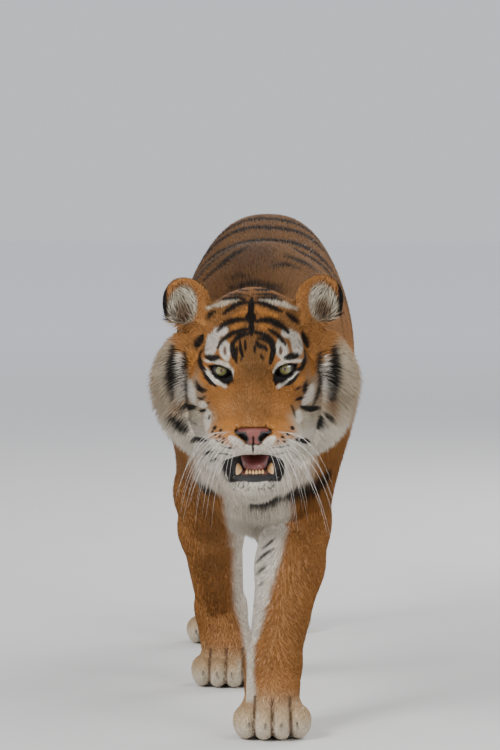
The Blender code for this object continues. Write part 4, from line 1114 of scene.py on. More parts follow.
def headColour(p, n, strokes, big, mid):
    q = toHead(p)
    across, up = flattened(p)[:, :2].T
    a = np.abs(across)
    head = Paint(len(p))
    front = step(q[:, 1], -0.15, -0.08)
    for (mx, mz), (rx, rz), soft, name, strength in faceFields:
        share = step(np.hypot((a - mx) / rx, (up - mz) / rz) + 0.12 * mid, 1 + soft, 1 - soft * 0.6)
        head.lay(name, share * strength * np.maximum(front, 0.35 * (name in ("cream", "white"))))
    head.lay("deep", 0.22 * (1 + mid) * front * step(up, -0.12, -0.07))
    for name, dots in paintDots:
        head.lay(name, step(strokeInk(p, dots) + 0.0012 * hash3(p, 130.0, 9), 0.0030, -0.0015))
    low = np.maximum(step(up, -0.130, -0.145), step(up, -0.06, -0.12) * step(a, 0.044, 0.058))
    head.lay("white", step(n[:, 2], 0.0, -0.5) * low)
    speckled = step(a, 0.050, 0.034) * step(np.abs(up + 0.212), 0.015, 0.004)
    speckled = speckled * step(hash3(p, 420.0, 12), 0.0, 0.45) * 0.85
    head.lay("black", np.maximum(step(strokes, 0.0012, -0.0008), speckled) * 0.98)
    # behind the cheeks the neck is barred
    bars = step(bandInk(q[:, 1] + 0.25 * q[:, 2] + 0.012 * big, neckBars), 0.004, -0.003)
    bars = bars * step(a, 0.06, 0.09) * step(q[:, 2], 0.06, 0.02) * step(q[:, 2], -0.16, -0.10)
    head.lay("black", bars * 0.85)
    ear = step(q[:, 2], 0.055, 0.070) * step(np.abs(q[:, 0]), 0.080, 0.092)
    head.rgb = mixed(head.rgb, earColour(q, (n @ headTurn.T)[:, 1]), ear[:, None])
    # lids, lips and the mouth
    for side in (1, -1):
        head.lay("black", onLid(q, side, 0.0050, 0.0036))
    head.lay("gum", np.maximum(lipShare(q), step(noseOutline(q), 0.001, -0.001)))
    roof, floor = throatShare(q, n)
    head.lay("throat", roof)
    head.lay("palate", floor)
    return head.rgb


def coatColour(p, n):
    # the coat's colour at places p whose skin faces n
    strokes = strokeInk(p, faceDots) + 0.0007 * hash3(p, 160.0, 8)
    known = (p, n, strokes, hash3(p, 6.0, 1), hash3(p, 40.0, 2))
    return mixed(bodyColour(*known), headColour(*known), headShare(p)[:, None])


# each kind of coat: how long, wide and dense it is, and how many degrees it is raised
coat = {
    "patch": 0.003, "jitter": 0.12,
    "trunk": (0.024, 0.00120, 80000, 11), "belly": (0.034, 0.0013, 70000, 20),
    "neck": (0.034, 0.0012, 105000, 14), "bib": (0.040, 0.0012, 95000, 20),
    "leg": (0.014, 0.00078, 150000, 7), "paw": (0.0065, 0.00070, 240000, 11),
    "tail": (0.021, 0.0011, 110000, 14), "face": (0.0085, 0.00070, 420000, 12),
    "chin": (0.020, 0.0009, 260000, 17), "muzzle": (0.0055, 0.00065, 420000, 13),
    "cheek": (0.018, 0.0009, 230000, 15),
    "ruff": (0.044, 0.0012, 130000, 21), "crown": (0.015, 0.0009, 260000, 15),
    "ear": (0.0085, 0.0008, 260000, 16), "earCup": (0.026, 0.0008, 120000, 30),
}


def coatShape(p, n):
    q = toHead(p)
    x, y, z = p.T
    side = np.where(x >= 0, 1.0, -1.0)

    def rule(name):
        return np.array(coat[name])

    shape = np.tile(rule("trunk"), (len(p), 1))

    def give(name, share):
        nonlocal shape
        shape = shape + (rule(name) - shape) * np.clip(share, 0, 1)[:, None]

    give("belly", step(n[:, 2], -0.3, -0.75) * step(z, 0.34, 0.38) * step(z, 0.60, 0.52))
    give("neck", step(y, -0.14, -0.24))
    give("bib", step(y, -0.10, -0.20) * step(z, 0.60, 0.50) * step(np.abs(x), 0.12, 0.07))
    give("leg", step(z, 0.46, 0.36) * (n[:, 2] > -0.6))
    give("paw", step(z, 0.15, 0.10))
    tailOff, tailShare = tailPlace(p)
    onTail = (y > 1.06) & (z < 0.86) & (tailOff < 0.07) & (z > 0.30)
    give("tail", onTail)
    onTheHead = headShare(p) * step(q[:, 1], -0.22, -0.17)
    reach = np.abs(q[:, 0]) + 0.45 * np.maximum(0, -q[:, 1]) + 0.30 * np.maximum(0, -0.13 - q[:, 2])
    give("face", onTheHead)
    give("crown", onTheHead * step(q[:, 1], -0.01, -0.06) * step(q[:, 2], 0.04, 0.07))
    give("cheek", onTheHead * step(reach, 0.070, 0.115) * step(q[:, 2], 0.10, 0.05))
    give("ruff", onTheHead * step(reach, 0.108, 0.185) * step(q[:, 2], 0.05, -0.04))
    give("ruff", onTheHead * step(q[:, 2], -0.205, -0.225) * 0.8)
    give("muzzle", step(q[:, 1], 0.075, 0.105) * onTheHead)
    give("chin", step(q[:, 2], -0.188, -0.205) * step(q[:, 1], 0.00, 0.05) * onTheHead)
    ear = step(q[:, 2], 0.052, 0.068) * step(np.abs(q[:, 0]), 0.078, 0.090) * onTheHead
    give("ear", ear)
    give("earCup", ear * earCup(q, (n @ headTurn.T)[:, 1]))
    length, width, density, lift = shape.T

    # where it doesn't grow
    bare = step(noseOutline(q), 0.002, -0.001)
    for s in (1, -1):
        bare = np.maximum(bare, onLid(q, s, 0.0042, 0.0030))
    bare = np.maximum(bare, np.maximum(lipShare(q), sum(throatShare(q, n))) * onTheHead)
    bare = np.maximum(bare, step(mouthRoom.distance(q), 0.004, 0.001) * step(q[:, 1], 0.125, 0.110))
    bare = np.maximum(bare, step(z, 0.010, 0.004))
    density = density * (1 - bare)

    # which way it lies
    lie = np.stack([0 * x, 0 * x + 1, -0.45 * (1 - np.abs(n[:, 2]))], 1)

    def turnTo(vector, share):
        nonlocal lie
        vector = np.array(vector, float) if np.ndim(vector) == 1 else vector
        lie = lie + (vector - lie) * np.clip(share, 0, 1)[:, None]

    turnTo((0, 0.45, -1), step(z, 0.50, 0.38))
    turnTo((0, 0.35, -1), step(y, -0.10, -0.22) * step(z, 0.62, 0.50))
    turnTo((0, -1, -0.45), step(z, 0.095, 0.070))
    line = tailLine()
    at = tailShare * (len(line) - 1)
    along = np.stack([np.interp(at, np.arange(len(line)), way) for way in np.gradient(line, axis=0).T], 1)
    along = along / np.linalg.norm(along, axis=1)[:, None]
    turnTo(along, onTail)
    away = q - np.array((0, 0.155, -0.060))
    away = away / np.linalg.norm(away, axis=1)[:, None]
    rough = step(reach, 0.10, 0.16)
    away = away + rough[:, None] * np.stack([-0.10 * side, 0 * x, -1.20 + 0 * x], 1)
    earWay = np.stack([0.45 * side, -0.1 + 0 * x, 1 + 0 * x], 1)
    away = away + (earWay - away) * ear[:, None]
    turnTo(away @ headTurn, onTheHead)
    return lie, length, width, density, np.radians(lift)


def regionOf(p):
    q = toHead(p)
    onTheHead = (q[:, 1] > -0.185) & (p[:, 2] > 0.42)
    ear = onTheHead & (q[:, 2] > 0.060) & (np.abs(q[:, 0]) > 0.086)
    return np.select(
        [ear, onTheHead & (q[:, 1] > -0.035), onTheHead & (p[:, 0] > headPoint[0]), onTheHead,
         p[:, 2] < 0.115, (p[:, 1] > 1.06) & (p[:, 2] > 0.30) & (tailPlace(p)[0] < 0.07),
         (p[:, 2] < 0.42) & (p[:, 1] < 0.40), (p[:, 2] < 0.42) & (p[:, 1] > 0.62),
         p[:, 1] < -0.06, p[:, 1] < 0.33, p[:, 1] < 0.70],
        [9, 1, 2, 3, 8, 7, 5, 6, 4, 10, 11], 12)


furValues = ("furLength", "furWidth", "furDensity", "furLift")

# each piece: its region, its kind of tuft, its slot and how dense it is
coatPieces = {
    "coatFace": (1, "short", "coat_orange", 0.80), "coatCheekLeft": (2, "lock", "coat_orange", 0.85),
    "coatCheekRight": (3, "lock", "coat_orange", 0.85), "coatNeck": (4, "short", "coat_orange", 1.20),
    "coatForelegs": (5, "short", "coat_orange", 0.80), "coatHindlegs": (6, "short", "coat_orange", 0.75),
    "coatTail": (7, "short", "coat_orange", 0.85), "coatPaws": (8, "short", "coat_paw", 0.72),
    "coatEars": (9, "lock", "coat_ear", 0.85), "coatFlanks": (10, "short", "coat_orange", 0.78),
    "coatLoins": (11, "short", "coat_orange", 0.78), "coatRump": (12, "short", "coat_orange", 0.76),
}


def addValues(mesh, name, kind, domain, values):
    made = mesh.attributes.new(name, kind, domain)
    field = {"FLOAT_VECTOR": "vector", "FLOAT_COLOR": "color"}.get(kind, "value")
    made.data.foreach_set(field, np.ascontiguousarray(values, int if kind == "INT" else float).ravel())


def removeValues(mesh, names):
    for name in names:
        mesh.attributes.remove(mesh.attributes[name])


def readValues(mesh, name, width):
    data = mesh.attributes[name].data
    out = np.empty(len(data) * width, np.float32)
    data.foreach_get("vector", out)
    return out.reshape(-1, width)


def unwrapSkin(made):
    bpy.context.view_layer.objects.active = made
    made.select_set(True)
    bpy.ops.object.mode_set(mode="EDIT")
    bpy.ops.mesh.select_all(action="SELECT")
    bpy.ops.uv.smart_project(angle_limit=math.radians(66), island_margin=0.002)
    bpy.ops.object.mode_set(mode="OBJECT")
    made.data.uv_layers[0].name = "unwrap"
    made.select_set(False)


# a hair tuft's rings: how far along and how wide each is
tuftRings = {"short": [(-0.06, 1.0)], "lock": [(-0.05, 1.0), (0.50, 0.72)]}


def tuftShape(kind):
    # a thin three-sided spike, a unit long
    points = [(radius * math.cos(a), radius * math.sin(a), z)
              for z, radius in tuftRings[kind] for a in turns(3)]
    faces, tip = [], len(points)
    for a in range(tip):
        b = a - a % 3 + (a + 1) % 3
        faces.append((a, b, tip) if a >= tip - 3 else (a, b, b + 3, a + 3))
    made = newObject("tuft_" + kind, points + [(0, 0, 1)], faces + [(2, 1, 0)])
    made.hide_render = True
    return made


def signs(operation):
    # an operator and its reflected form
    return lambda a, b: a.maths(operation, a, b), lambda a, b: a.maths(operation, b, a)


class Wire:
    # a socket that does arithmetic by adding nodes
    def __init__(self, net, socket):
        self.net = net
        self.socket = socket

    def maths(self, operation, *values):
        return self.net.add("ShaderNodeMath", {"operation": operation}, dict(enumerate(values)))[0]

    __add__, __radd__ = signs("ADD")
    __sub__, __rsub__ = signs("SUBTRACT")
    __mul__, __rmul__ = signs("MULTIPLY")
    __pow__, __rpow__ = signs("POWER")

    def eased(self, low, high):
        # 0 at low, 1 at high
        return self.net.add("ShaderNodeMapRange", {"interpolation_type": "SMOOTHSTEP"},
                            {"Value": self, "From Min": low, "From Max": high})["Result"]


class Added:
    # a new node: its outputs by name, its inputs by values or links
    def __init__(self, net, node):
        self.net = net
        self.node = node

    def __getitem__(self, name):
        return Wire(self.net, self.node.outputs[name])

    def give(self, values):
        for key, value in values.items():
            if isinstance(value, Wire):
                self.net.tree.links.new(value.socket, self.node.inputs[key])
            else:
                self.node.inputs[key].default_value = value
        return self


class Net:
    # a node tree that adds nodes by type, settings and the values or links of their sockets
    def __init__(self, tree):
        self.tree = tree
        tree.nodes.clear()

    def add(self, kind, settings=None, values=None):
        node = self.tree.nodes.new(kind)
        for key, value in (settings or {}).items():
            setattr(node, key, value)
        return Added(self, node).give(values or {})

    def named(self, name, kind="FLOAT"):
        return self.add("GeometryNodeInputNamedAttribute", {"data_type": kind}, {"Name": name})["Attribute"]

    def painted(self, name, output):
        return self.add("ShaderNodeAttribute", {"attribute_name": name})[output]

    def vector(self, operation, *values, output="Vector"):
        return self.add("ShaderNodeVectorMath", {"operation": operation}, dict(enumerate(values)))[output]

    def scaled(self, vector, factor):
        made = self.add("ShaderNodeVectorMath", {"operation": "SCALE"}, {0: vector, "Scale": factor})
        return made["Vector"]

    def blend(self, share, low, high):
        low, high = (c if isinstance(c, Wire) else (*c, 1) for c in (low, high))
        return self.add("ShaderNodeMix", {"data_type": "RGBA"}, {0: share, 6: low, 7: high})[2]

    def finish(self, mesh, material):
        # the last nodes of a tree that makes solid hairs
        whole = self.add("GeometryNodeRealizeInstances", {}, {"Geometry": mesh})["Geometry"]
        done = self.add("GeometryNodeSetMaterial", {}, {"Geometry": whole, "Material": material})["Geometry"]
        self.add("NodeGroupOutput", {}, {0: done})
        return self.tree


def geometryNet(name, inputs):
    # a Geometry Nodes tree with named inputs
    net = Net(bpy.data.node_groups.new(name, "GeometryNodeTree"))
    net.tree.interface.new_socket("Geometry", in_out="OUTPUT", socket_type="NodeSocketGeometry")
    for label, kind in {"Geometry": "Geometry", **inputs}.items():
        net.tree.interface.new_socket(label, in_out="INPUT", socket_type="NodeSocket" + kind)
    return net, net.add("NodeGroupInput")


def coatTree():
    # tufts scattered over a skin, lying along its furLie
    net, given = geometryNet("tufts", {"Region": "Int", "Density": "Float", "Jitter": "Float", "Seed": "Int",
                                       "Tuft": "Object", "Material": "Material"})
    mine = net.add("FunctionNodeCompare", {"data_type": "INT", "operation": "EQUAL"},
                   {2: net.named("region", "INT"), 3: given["Region"]})
    spread = net.add("GeometryNodeDistributePointsOnFaces", {"distribute_method": "RANDOM"},
                     {"Mesh": given["Geometry"], "Selection": mine["Result"],
                      "Density": net.named("furDensity") * given["Density"], "Seed": given["Seed"]})
    normal = spread["Normal"]
    stray = net.add("FunctionNodeRandomValue", {"data_type": "FLOAT_VECTOR"},
                    {"Min": (-1, -1, -1), "Max": (1, 1, 1), "Seed": given["Seed"] + 7})[0]
    lie = net.vector("NORMALIZE", net.named("furLie", "FLOAT_VECTOR"))
    lie = net.vector("ADD", lie, net.scaled(stray, given["Jitter"]))
    toward = net.vector("DOT_PRODUCT", lie, normal, output="Value")
    flat = net.vector("NORMALIZE", net.vector("SUBTRACT", lie, net.scaled(normal, toward)))
    lift = net.named("furLift")
    ahead, above = net.scaled(flat, lift.maths("COSINE", lift)), net.scaled(normal, lift.maths("SINE", lift))
    turn = net.add("FunctionNodeAxesToRotation", {"primary_axis": "Z", "secondary_axis": "X"},
                   {"Primary Axis": net.vector("ADD", ahead, above), "Secondary Axis": normal})
    chance = net.add("FunctionNodeRandomValue", {"data_type": "FLOAT"},
                     {2: 0.72, 3: 1.18, "Seed": given["Seed"] + 3})[1]
    size = net.add("ShaderNodeCombineXYZ", {}, {"X": net.named("furWidth"), "Y": net.named("furWidth"),
                                                "Z": net.named("furLength") * chance})
    tuft = net.add("GeometryNodeObjectInfo", {}, {"Object": given["Tuft"]})
    held = net.add("GeometryNodeInstanceOnPoints", {}, {
        "Points": spread["Points"], "Instance": tuft["Geometry"], "Rotation": turn["Rotation"],
        "Scale": size["Vector"]})["Instances"]
    place = net.add("GeometryNodeInputPosition")["Position"]
    for name, value in (("rootSpot", place), ("rootFace", normal)):
        held = net.add("GeometryNodeStoreNamedAttribute", {"data_type": "FLOAT_VECTOR", "domain": "INSTANCE"},
                       {"Geometry": held, "Name": name, "Value": value})["Geometry"]
    return net.finish(held, given["Material"])


def grown(name, data, tree, **inputs):
    # a tree's mesh over some data; its inputs are set by each socket's own identifier
    base = placed("base", data)
    grow = base.modifiers.new("grow", "NODES")
    grow.node_group = tree
    for item in tree.interface.items_tree:
        if item.item_type == "SOCKET" and item.in_out == "INPUT" and item.name in inputs:
            grow[item.identifier] = inputs[item.name]
    bpy.context.view_layer.update()
    graph = bpy.context.evaluated_depsgraph_get()
    mesh = bpy.data.meshes.new_from_object(base.evaluated_get(graph))
    mesh.name = name
    bpy.data.objects.remove(base)
    return placed(name, mesh)


def growCoat(name, region, kind, dense, tree, tuft, material):
    made = grown(name, skinObject.data, tree, Region=region, Density=dense, Jitter=coat["jitter"],
                 Seed=region * 13, Tuft=tuft, Material=material)
    mesh = made.data
    per = len(tuft.data.vertices)
    roots = readValues(mesh, "rootSpot", 3)[::per].astype(float)
    normals = readValues(mesh, "rootFace", 3)[::per].astype(float)
    normals /= np.linalg.norm(normals, axis=1)[:, None] + 1e-9
    ground = readValues(mesh, "unwrap", 2)
    removeValues(mesh, ("coat", "unwrap", "rootSpot", "rootFace", "furLie", *furValues, "region"))
    chance = np.random.default_rng(region)
    tone = 1 + 0.22 * (chance.random(len(roots)) - 0.5) + 0.10 * hash3(roots, 55.0, 11)
    # coloured by the skin under two or three places along it, and darker at its root as painted shade among
    # the hairs
    tips = places(mesh).reshape(-1, per, 3)[:, -1]
    spots = {"short": (0.15, 0.62), "lock": (0.10, 0.42, 0.80)}[kind]
    tones = [coatColour(roots + (tips - roots) * t, normals) * tone[:, None] for t in spots]
    share = places(tuft.data)[:, 2].clip(0, 1)[None, :, None]
    colour = np.repeat(tones[0][:, None, :], per, axis=1)
    spans = len(tones) - 1
    for i in range(spans):
        colour = colour + (tones[i + 1] - tones[i])[:, None, :] * np.clip(share * spans - i, 0, 1)
    rgba = np.ones((len(roots), per, 4))
    # painted shade: darker towards the root, lighter towards the tip
    rgba[:, :, :3] = np.clip(colour * (0.76 + 0.34 * share), 0, 1)
    addValues(mesh, "coat", "FLOAT_COLOR", "POINT", rgba)
    # each tuft is a small patch at its root's place on the skin's unwrap
    corners = np.empty(len(mesh.loops), int)
    mesh.loops.foreach_get("vertex_index", corners)
    if len(ground) != len(corners):
        ground = ground[corners]
    which = corners % per
    angle = 2 * math.pi * which / 3
    spread = np.where(which == per - 1, 0.0, 0.5) * coat["patch"]
    local = np.stack([spread * np.cos(angle), spread * np.sin(angle)], 1)
    patch = mesh.uv_layers.new(name="OFBake")
    patch.data.foreach_set("uv", (ground + local).astype(np.float32).ravel())
    mesh.shade_smooth()
    return made


def newMaterial(name):
    made = bpy.data.materials.new(name)
    made.use_nodes = True
    net = Net(made.node_tree)
    shader = net.add("ShaderNodeBsdfPrincipled")
    net.add("ShaderNodeOutputMaterial", {}, {"Surface": shader[0]})
    return made, net, shader


def objectPlace(net):
    return net.add("ShaderNodeTexCoord")["Object"]


def noise(net, place, scale, detail=3.0, rough=0.55):
    return net.add("ShaderNodeTexNoise", {}, {
        "Vector": place, "Scale": scale, "Detail": detail, "Roughness": rough})["Fac"]


def bumped(net, height, strength, distance):
    made = net.add("ShaderNodeBump", {}, {"Height": height, "Strength": strength, "Distance": distance})
    return made["Normal"]


def hairMaterial():
    made, net, shader = newMaterial("coatHair")
    place = objectPlace(net)
    tone = noise(net, place, 420.0, 2.0) * 0.36 + 0.82
    shader.give({"Base Color": net.scaled(net.painted("coat", "Color"), tone),
                 "Roughness": noise(net, place, 160.0) * 0.25 + 0.58, "Specular IOR Level": 0.18})
    return made


def skinMaterial():
    made, net, shader = newMaterial("coatSkin")
    fine = noise(net, objectPlace(net), 700.0, 4.0)
    shader.give({"Base Color": net.scaled(net.painted("coat", "Color"), fine * 0.5 + 0.55),
                 "Roughness": fine * 0.3 + 0.45, "Normal": bumped(net, fine, 0.5, 0.0012)})
    return made


def plainMaterial(name, colours, scale, rough, bump, gloss=0.0):
    # a colour that varies between two, with a fine grain
    made, net, shader = newMaterial(name)
    place = objectPlace(net)
    patchy = noise(net, place, scale, 4.0)
    fine = noise(net, place, scale * 6, 3.0)
    shader.give({"Base Color": net.blend(patchy.eased(0.3, 0.7), *colours), "Roughness": fine * 0.2 + rough,
                 "Normal": bumped(net, fine + patchy * 0.5, bump, 0.0006),
                 "Coat Weight": gloss, "Coat Roughness": 0.15})
    return made


eyeColours = {"iris": ((0.070, 0.075, 0.026), (0.24, 0.24, 0.095)), "warm": (0.24, 0.15, 0.030),
              "rim": (0.010, 0.008, 0.005), "white": (0.022, 0.013, 0.009), "pupil": (0.002, 0.002, 0.002)}


def eyeMaterial():
    # from the gaze outward: pupil, warm ring, fibres, dark rim, the ball's white in shade
    made, net, shader = newMaterial("eyeGlass")
    iris, pupil = eyeBall["iris"], eyeBall["pupil"]
    parts = net.add("ShaderNodeSeparateXYZ", {}, {"Vector": net.painted("inEye", "Vector")})
    radial = (parts["X"] ** 2.0 + parts["Y"] ** 2.0) ** 0.5 * eyeBall["radius"]
    flat = net.add("ShaderNodeCombineXYZ", {}, {"X": parts["X"], "Y": parts["Y"]})["Vector"]
    fibres = noise(net, net.vector("NORMALIZE", flat), 14.0, 5.0, 0.7)
    colour = net.blend(fibres.eased(0.35, 0.68), *eyeColours["iris"])
    colour = net.blend((radial + fibres * 0.002).eased(0.0042, 0.0068), eyeColours["warm"], colour)
    rim = (radial + fibres * 0.0012).eased(iris - 0.0014, iris - 0.0002)
    colour = net.blend(rim, colour, eyeColours["rim"])
    colour = net.blend(radial.eased(iris, iris + 0.003), colour, eyeColours["white"])
    colour = net.blend(radial.eased(pupil, pupil - 0.0004), colour, eyeColours["pupil"])
    outside = radial.eased(iris, iris + 0.0015)
    shader.give({"Base Color": colour, "Normal": bumped(net, fibres, 0.05, 0.0003),
                 "Roughness": outside * 0.40 + 0.12, "Coat Weight": 1.0 - outside * 0.85,
                 "Coat Roughness": 0.02})
    return made


def noseMaterial():
    made, net, shader = newMaterial("noseLeather")
    place = objectPlace(net)
    patchy = noise(net, place, 90.0, 3.0)
    cells = net.add("ShaderNodeTexVoronoi", {}, {"Vector": place, "Scale": 900.0})["Distance"]
    pink = net.blend(patchy.eased(0.35, 0.7), *nose["pink"])
    shader.give({"Base Color": net.blend(net.painted("dark", "Fac"), pink, nose["black"]),
                 "Roughness": patchy * 0.2 + 0.36, "Normal": bumped(net, cells, 0.55, 0.0005)})
    return made


def dress(made, material, nodes, slot):
    made.data.materials.clear()
    made.data.materials.append(material)
    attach(made, rootBody)
    if nodes:
        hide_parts(*nodes)


def makeEye(side, name):
    # a ball whose poles lie along its gaze, with the clear bulge in front of the iris
    lookAt = fromHead((0.004, 3.0, 0.35))
    centre = fromHead((side * eyeBall["place"][0], *eyeBall["place"][1:]))
    gaze = (lookAt - centre) / np.linalg.norm(lookAt - centre)
    across = np.cross((0, 0, 1), gaze)
    across /= np.linalg.norm(across)
    frameOf = np.stack([across, np.cross(gaze, across), gaze])
    rows, cols = eyeBall["rows"], eyeBall["cols"]
    local, faces = [(0, 0, 1)], []
    for r in range(1, rows):
        a = math.pi * (r / rows) ** 1.25
        local += [(math.sin(a) * math.cos(b), math.sin(a) * math.sin(b), math.cos(a)) for b in turns(cols)]
    local.append((0, 0, -1))
    for k in range(cols):
        faces.append((0, 1 + k, 1 + (k + 1) % cols))
        faces.append((len(local) - 1, len(local) - 2 - k, len(local) - 2 - (k + 1) % cols))
    for r in range(rows - 2):
        for k in range(cols):
            a, b = 1 + r * cols + k, 1 + r * cols + (k + 1) % cols
            faces.append((a, a + cols, b + cols, b))
    local = np.array(local, float)
    off = np.hypot(local[:, 0], local[:, 1]) * eyeBall["radius"]
    bulge = 1 + 0.055 * step(off, eyeBall["iris"] + 0.001, 0.0) * (local[:, 2] > 0)
    made = newObject(name, local * bulge[:, None] * eyeBall["radius"] @ frameOf + centre, faces)
    addNormals(made)
    addValues(made.data, "inEye", "FLOAT_VECTOR", "POINT", local)
    return made


def nosePad():
    # the bare nose: a slab on the muzzle's own surface, with two comma-shaped nostrils
    hole = [ball((s * nose["hole"][0], *nose["hole"][1:]), nose["holeSize"], turn=(0, -s * 20, 0))
            for s in (1, -1)]
    hole += list(bonePair(nose["hole"], nose["slit"], 0.0066, 0.0030))

    def field(p):
        q = toHead(p)
        value = fleshAt(p, muscles) - nose["proud"]
        value = -smoothMin(-value, -noseOutline(q), 0.005)
        for h in hole:
            value = -smoothMin(-value, h.distance(q), 0.0022)
        groove = np.hypot(q[:, 0], np.maximum(0, q[:, 2] + 0.080)) - 0.0012
        groove = np.maximum(groove, 0.152 - q[:, 1])
        return -smoothMin(-value, groove, 0.003)

    corners = fromHead([(x, y, z) for x in (-0.044, 0.044) for y in (0.110, 0.175) for z in (-0.104, -0.050)])
    points, quads = netOf(field, corners.min(0), corners.max(0), nose["cell"])
    made = newObject("nosePad", points, quads)
    keepLargest(made)
    q = toHead(places(made.data))
    deep = np.min([h.distance(q) for h in hole], axis=0)
    wings = step(np.abs(q[:, 0]), 0.0105, 0.0145) * step(q[:, 2], nose["top"] - 0.0022, nose["top"] - 0.0056)
    edge = step(noseOutline(q) + 0.0022, 0.0, 0.0012) * (q[:, 2] < -0.070)
    dark = np.maximum(step(deep, 0.0038, 0.0022), np.maximum(edge, wings))
    addValues(made.data, "dark", "FLOAT", "POINT", dark)
    return made


def makeTongue():
    def field(q):
        flat = ball((0, 0.062, -0.149), (0.026, 0.054, 0.012)).distance(q)
        flat = smoothMin(flat, ball((0, 0.094, -0.1565), (0.0215, 0.0245, 0.0110)).distance(q), 0.008)
        groove = np.hypot(q[:, 0], (q[:, 2] + 0.133) * 0.6) - 0.004
        return -smoothMin(-flat, groove, 0.006)

    points, quads = netOf(field, (-0.032, 0.0, -0.168), (0.032, 0.122, -0.130), 0.0024)
    made = newObject("tongueFlesh", fromHead(points), quads)
    addNormals(made)
    return made


# each tooth: its place in the face, its height and radius, how far it leans aside and bends forward
teeth = {
    "rings": 14, "sides": 14,
    "fangs": {name: ((side * 0.0265, 0.109, -0.172), 0.025, 0.0074, side * 0.16, -0.004)
              for side, name in ((1, "left"), (-1, "right"))},
    "front": [((x * 0.0056, 0.123 - 0.0012 * abs(x), -0.166), 0.011, 0.0031, 0.02 * x, -0.001)
              for x in (-2.5, -1.5, -0.5, 0.5, 1.5, 2.5)],
}


def toothRings(base, height, radius, lean, bend):
    # a rounded spike's rings, from its root up
    rings = []
    for r in range(teeth["rings"]):
        t = r / (teeth["rings"] - 1)
        wide = radius * (1 - t ** 2.4) ** 0.7 + 0.0003
        middle = np.array(base) + (math.sin(lean) * height * t, bend * t * t, math.cos(lean) * height * t)
        rings.append([middle + (wide * math.cos(a), wide * math.sin(a), 0) for a in turns(teeth["sides"])])
    return rings


def makeTeeth(name, rows):
    points, faces = loft([toothRings(*tooth) for tooth in rows])
    made = newObject(name, fromHead(points), faces)
    addNormals(made)
    return made


whiskers = {"rows": 4, "each": 6, "long": (0.075, 0.150), "thick": 0.00030, "points": 14, "seed": 3}


def whiskerTree():
    # lines become tapering hairs
    net, given = geometryNet("hairLines", {"Thickness": "Float", "Material": "Material"})
    thin = net.named("thin")
    line = net.add("GeometryNodeMeshToCurve", {}, {"Mesh": given["Geometry"]})["Curve"]
    line = net.add("GeometryNodeSetCurveRadius", {}, {"Curve": line, "Radius": thin})["Curve"]
    ring = net.add("GeometryNodeCurvePrimitiveCircle", {}, {"Resolution": 5, "Radius": given["Thickness"]})
    tube = net.add("GeometryNodeCurveToMesh", {}, {
        "Curve": line, "Profile Curve": ring["Curve"], "Scale": thin, "Fill Caps": True})
    return net.finish(tube["Mesh"], given["Material"])


def makeWhiskers(material):
    chance = random.Random(whiskers["seed"])
    points, edges, thin = [], [], []
    for side, row, k in itertools.product((1, -1), range(whiskers["rows"]), range(whiskers["each"])):
        back = k / (whiskers["each"] - 1)
        spot = faceSpot(side * (0.030 + 0.038 * back), -0.110 - 0.012 * row - 0.004 * back)
        if spot is None:
            continue
        long = chance.uniform(*whiskers["long"]) * (0.55 + 0.45 * back)
        rise = -0.05 - 0.27 * row + chance.uniform(-0.15, 0.15)
        out = np.array((side * (0.75 + 0.5 * back), -0.45 + 0.55 * back, rise))
        out = out / np.linalg.norm(out)
        droop = np.array((-0.25 * side, 0.20, -0.80)) * long * (0.85 + 0.3 * chance.random())
        for i in range(whiskers["points"]):
            t = i / (whiskers["points"] - 1)
            if i:
                edges.append((len(points) - 1, len(points)))
            points.append(spot + out * (long * t - 0.003) + droop * t * t)
            thin.append(1 - 0.86 * t ** 1.5)
    mesh = newMesh("whiskerLines", points, [], edges)
    addValues(mesh, "thin", "FLOAT", "POINT", thin)
    made = grown("whiskers", mesh, whiskerTree(), Thickness=whiskers["thick"], Material=material)
    addNormals(made)
    return made


claw = {"long": 0.017, "radius": 0.0042, "rings": 8, "sides": 8, "curl": 1.3}


def clawRings(base, heading):
    # a hook's rings, from its root to its tip
    rings = []
    for r in range(claw["rings"]):
        t = r / (claw["rings"] - 1)
        wide = claw["radius"] * (1 - t) ** 0.7 + 0.0002
        along = -claw["long"] * 0.62 * math.sin(t * claw["curl"])
        drop = -claw["long"] * 0.75 * (1 - math.cos(t * claw["curl"]))
        rings.append([base + heading @ Vector((0.55 * wide * math.cos(a), along, drop - wide * math.sin(a)))
                      for a in turns(claw["sides"])])
    return rings


def makeClaws():
    solids = []
    for joints, sizes in legs:
        for root, tip, splay in toes(joints["knuckles"], joints["turn"], sizes):
            heading = Matrix.Rotation(math.radians(splay), 3, "Z")
            lead = Vector((0, -sizes["toe"][1] * 0.86, sizes["toe"][2] * 0.10))
            solids.append(clawRings(tip + heading @ lead, heading))
    points, faces = loft(solids)
    made = newObject("claws", points, faces)
    addNormals(made)
    return made


# put together
fleshNodes = [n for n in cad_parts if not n.startswith(("eye", "canine", "incisors", "tongue", "nose"))]
hair = hairMaterial()


def moveIn(made):
    # from the laid-out place to the CAD model's
    setPlaces(made.data, places(made.data) + shift)
    return made


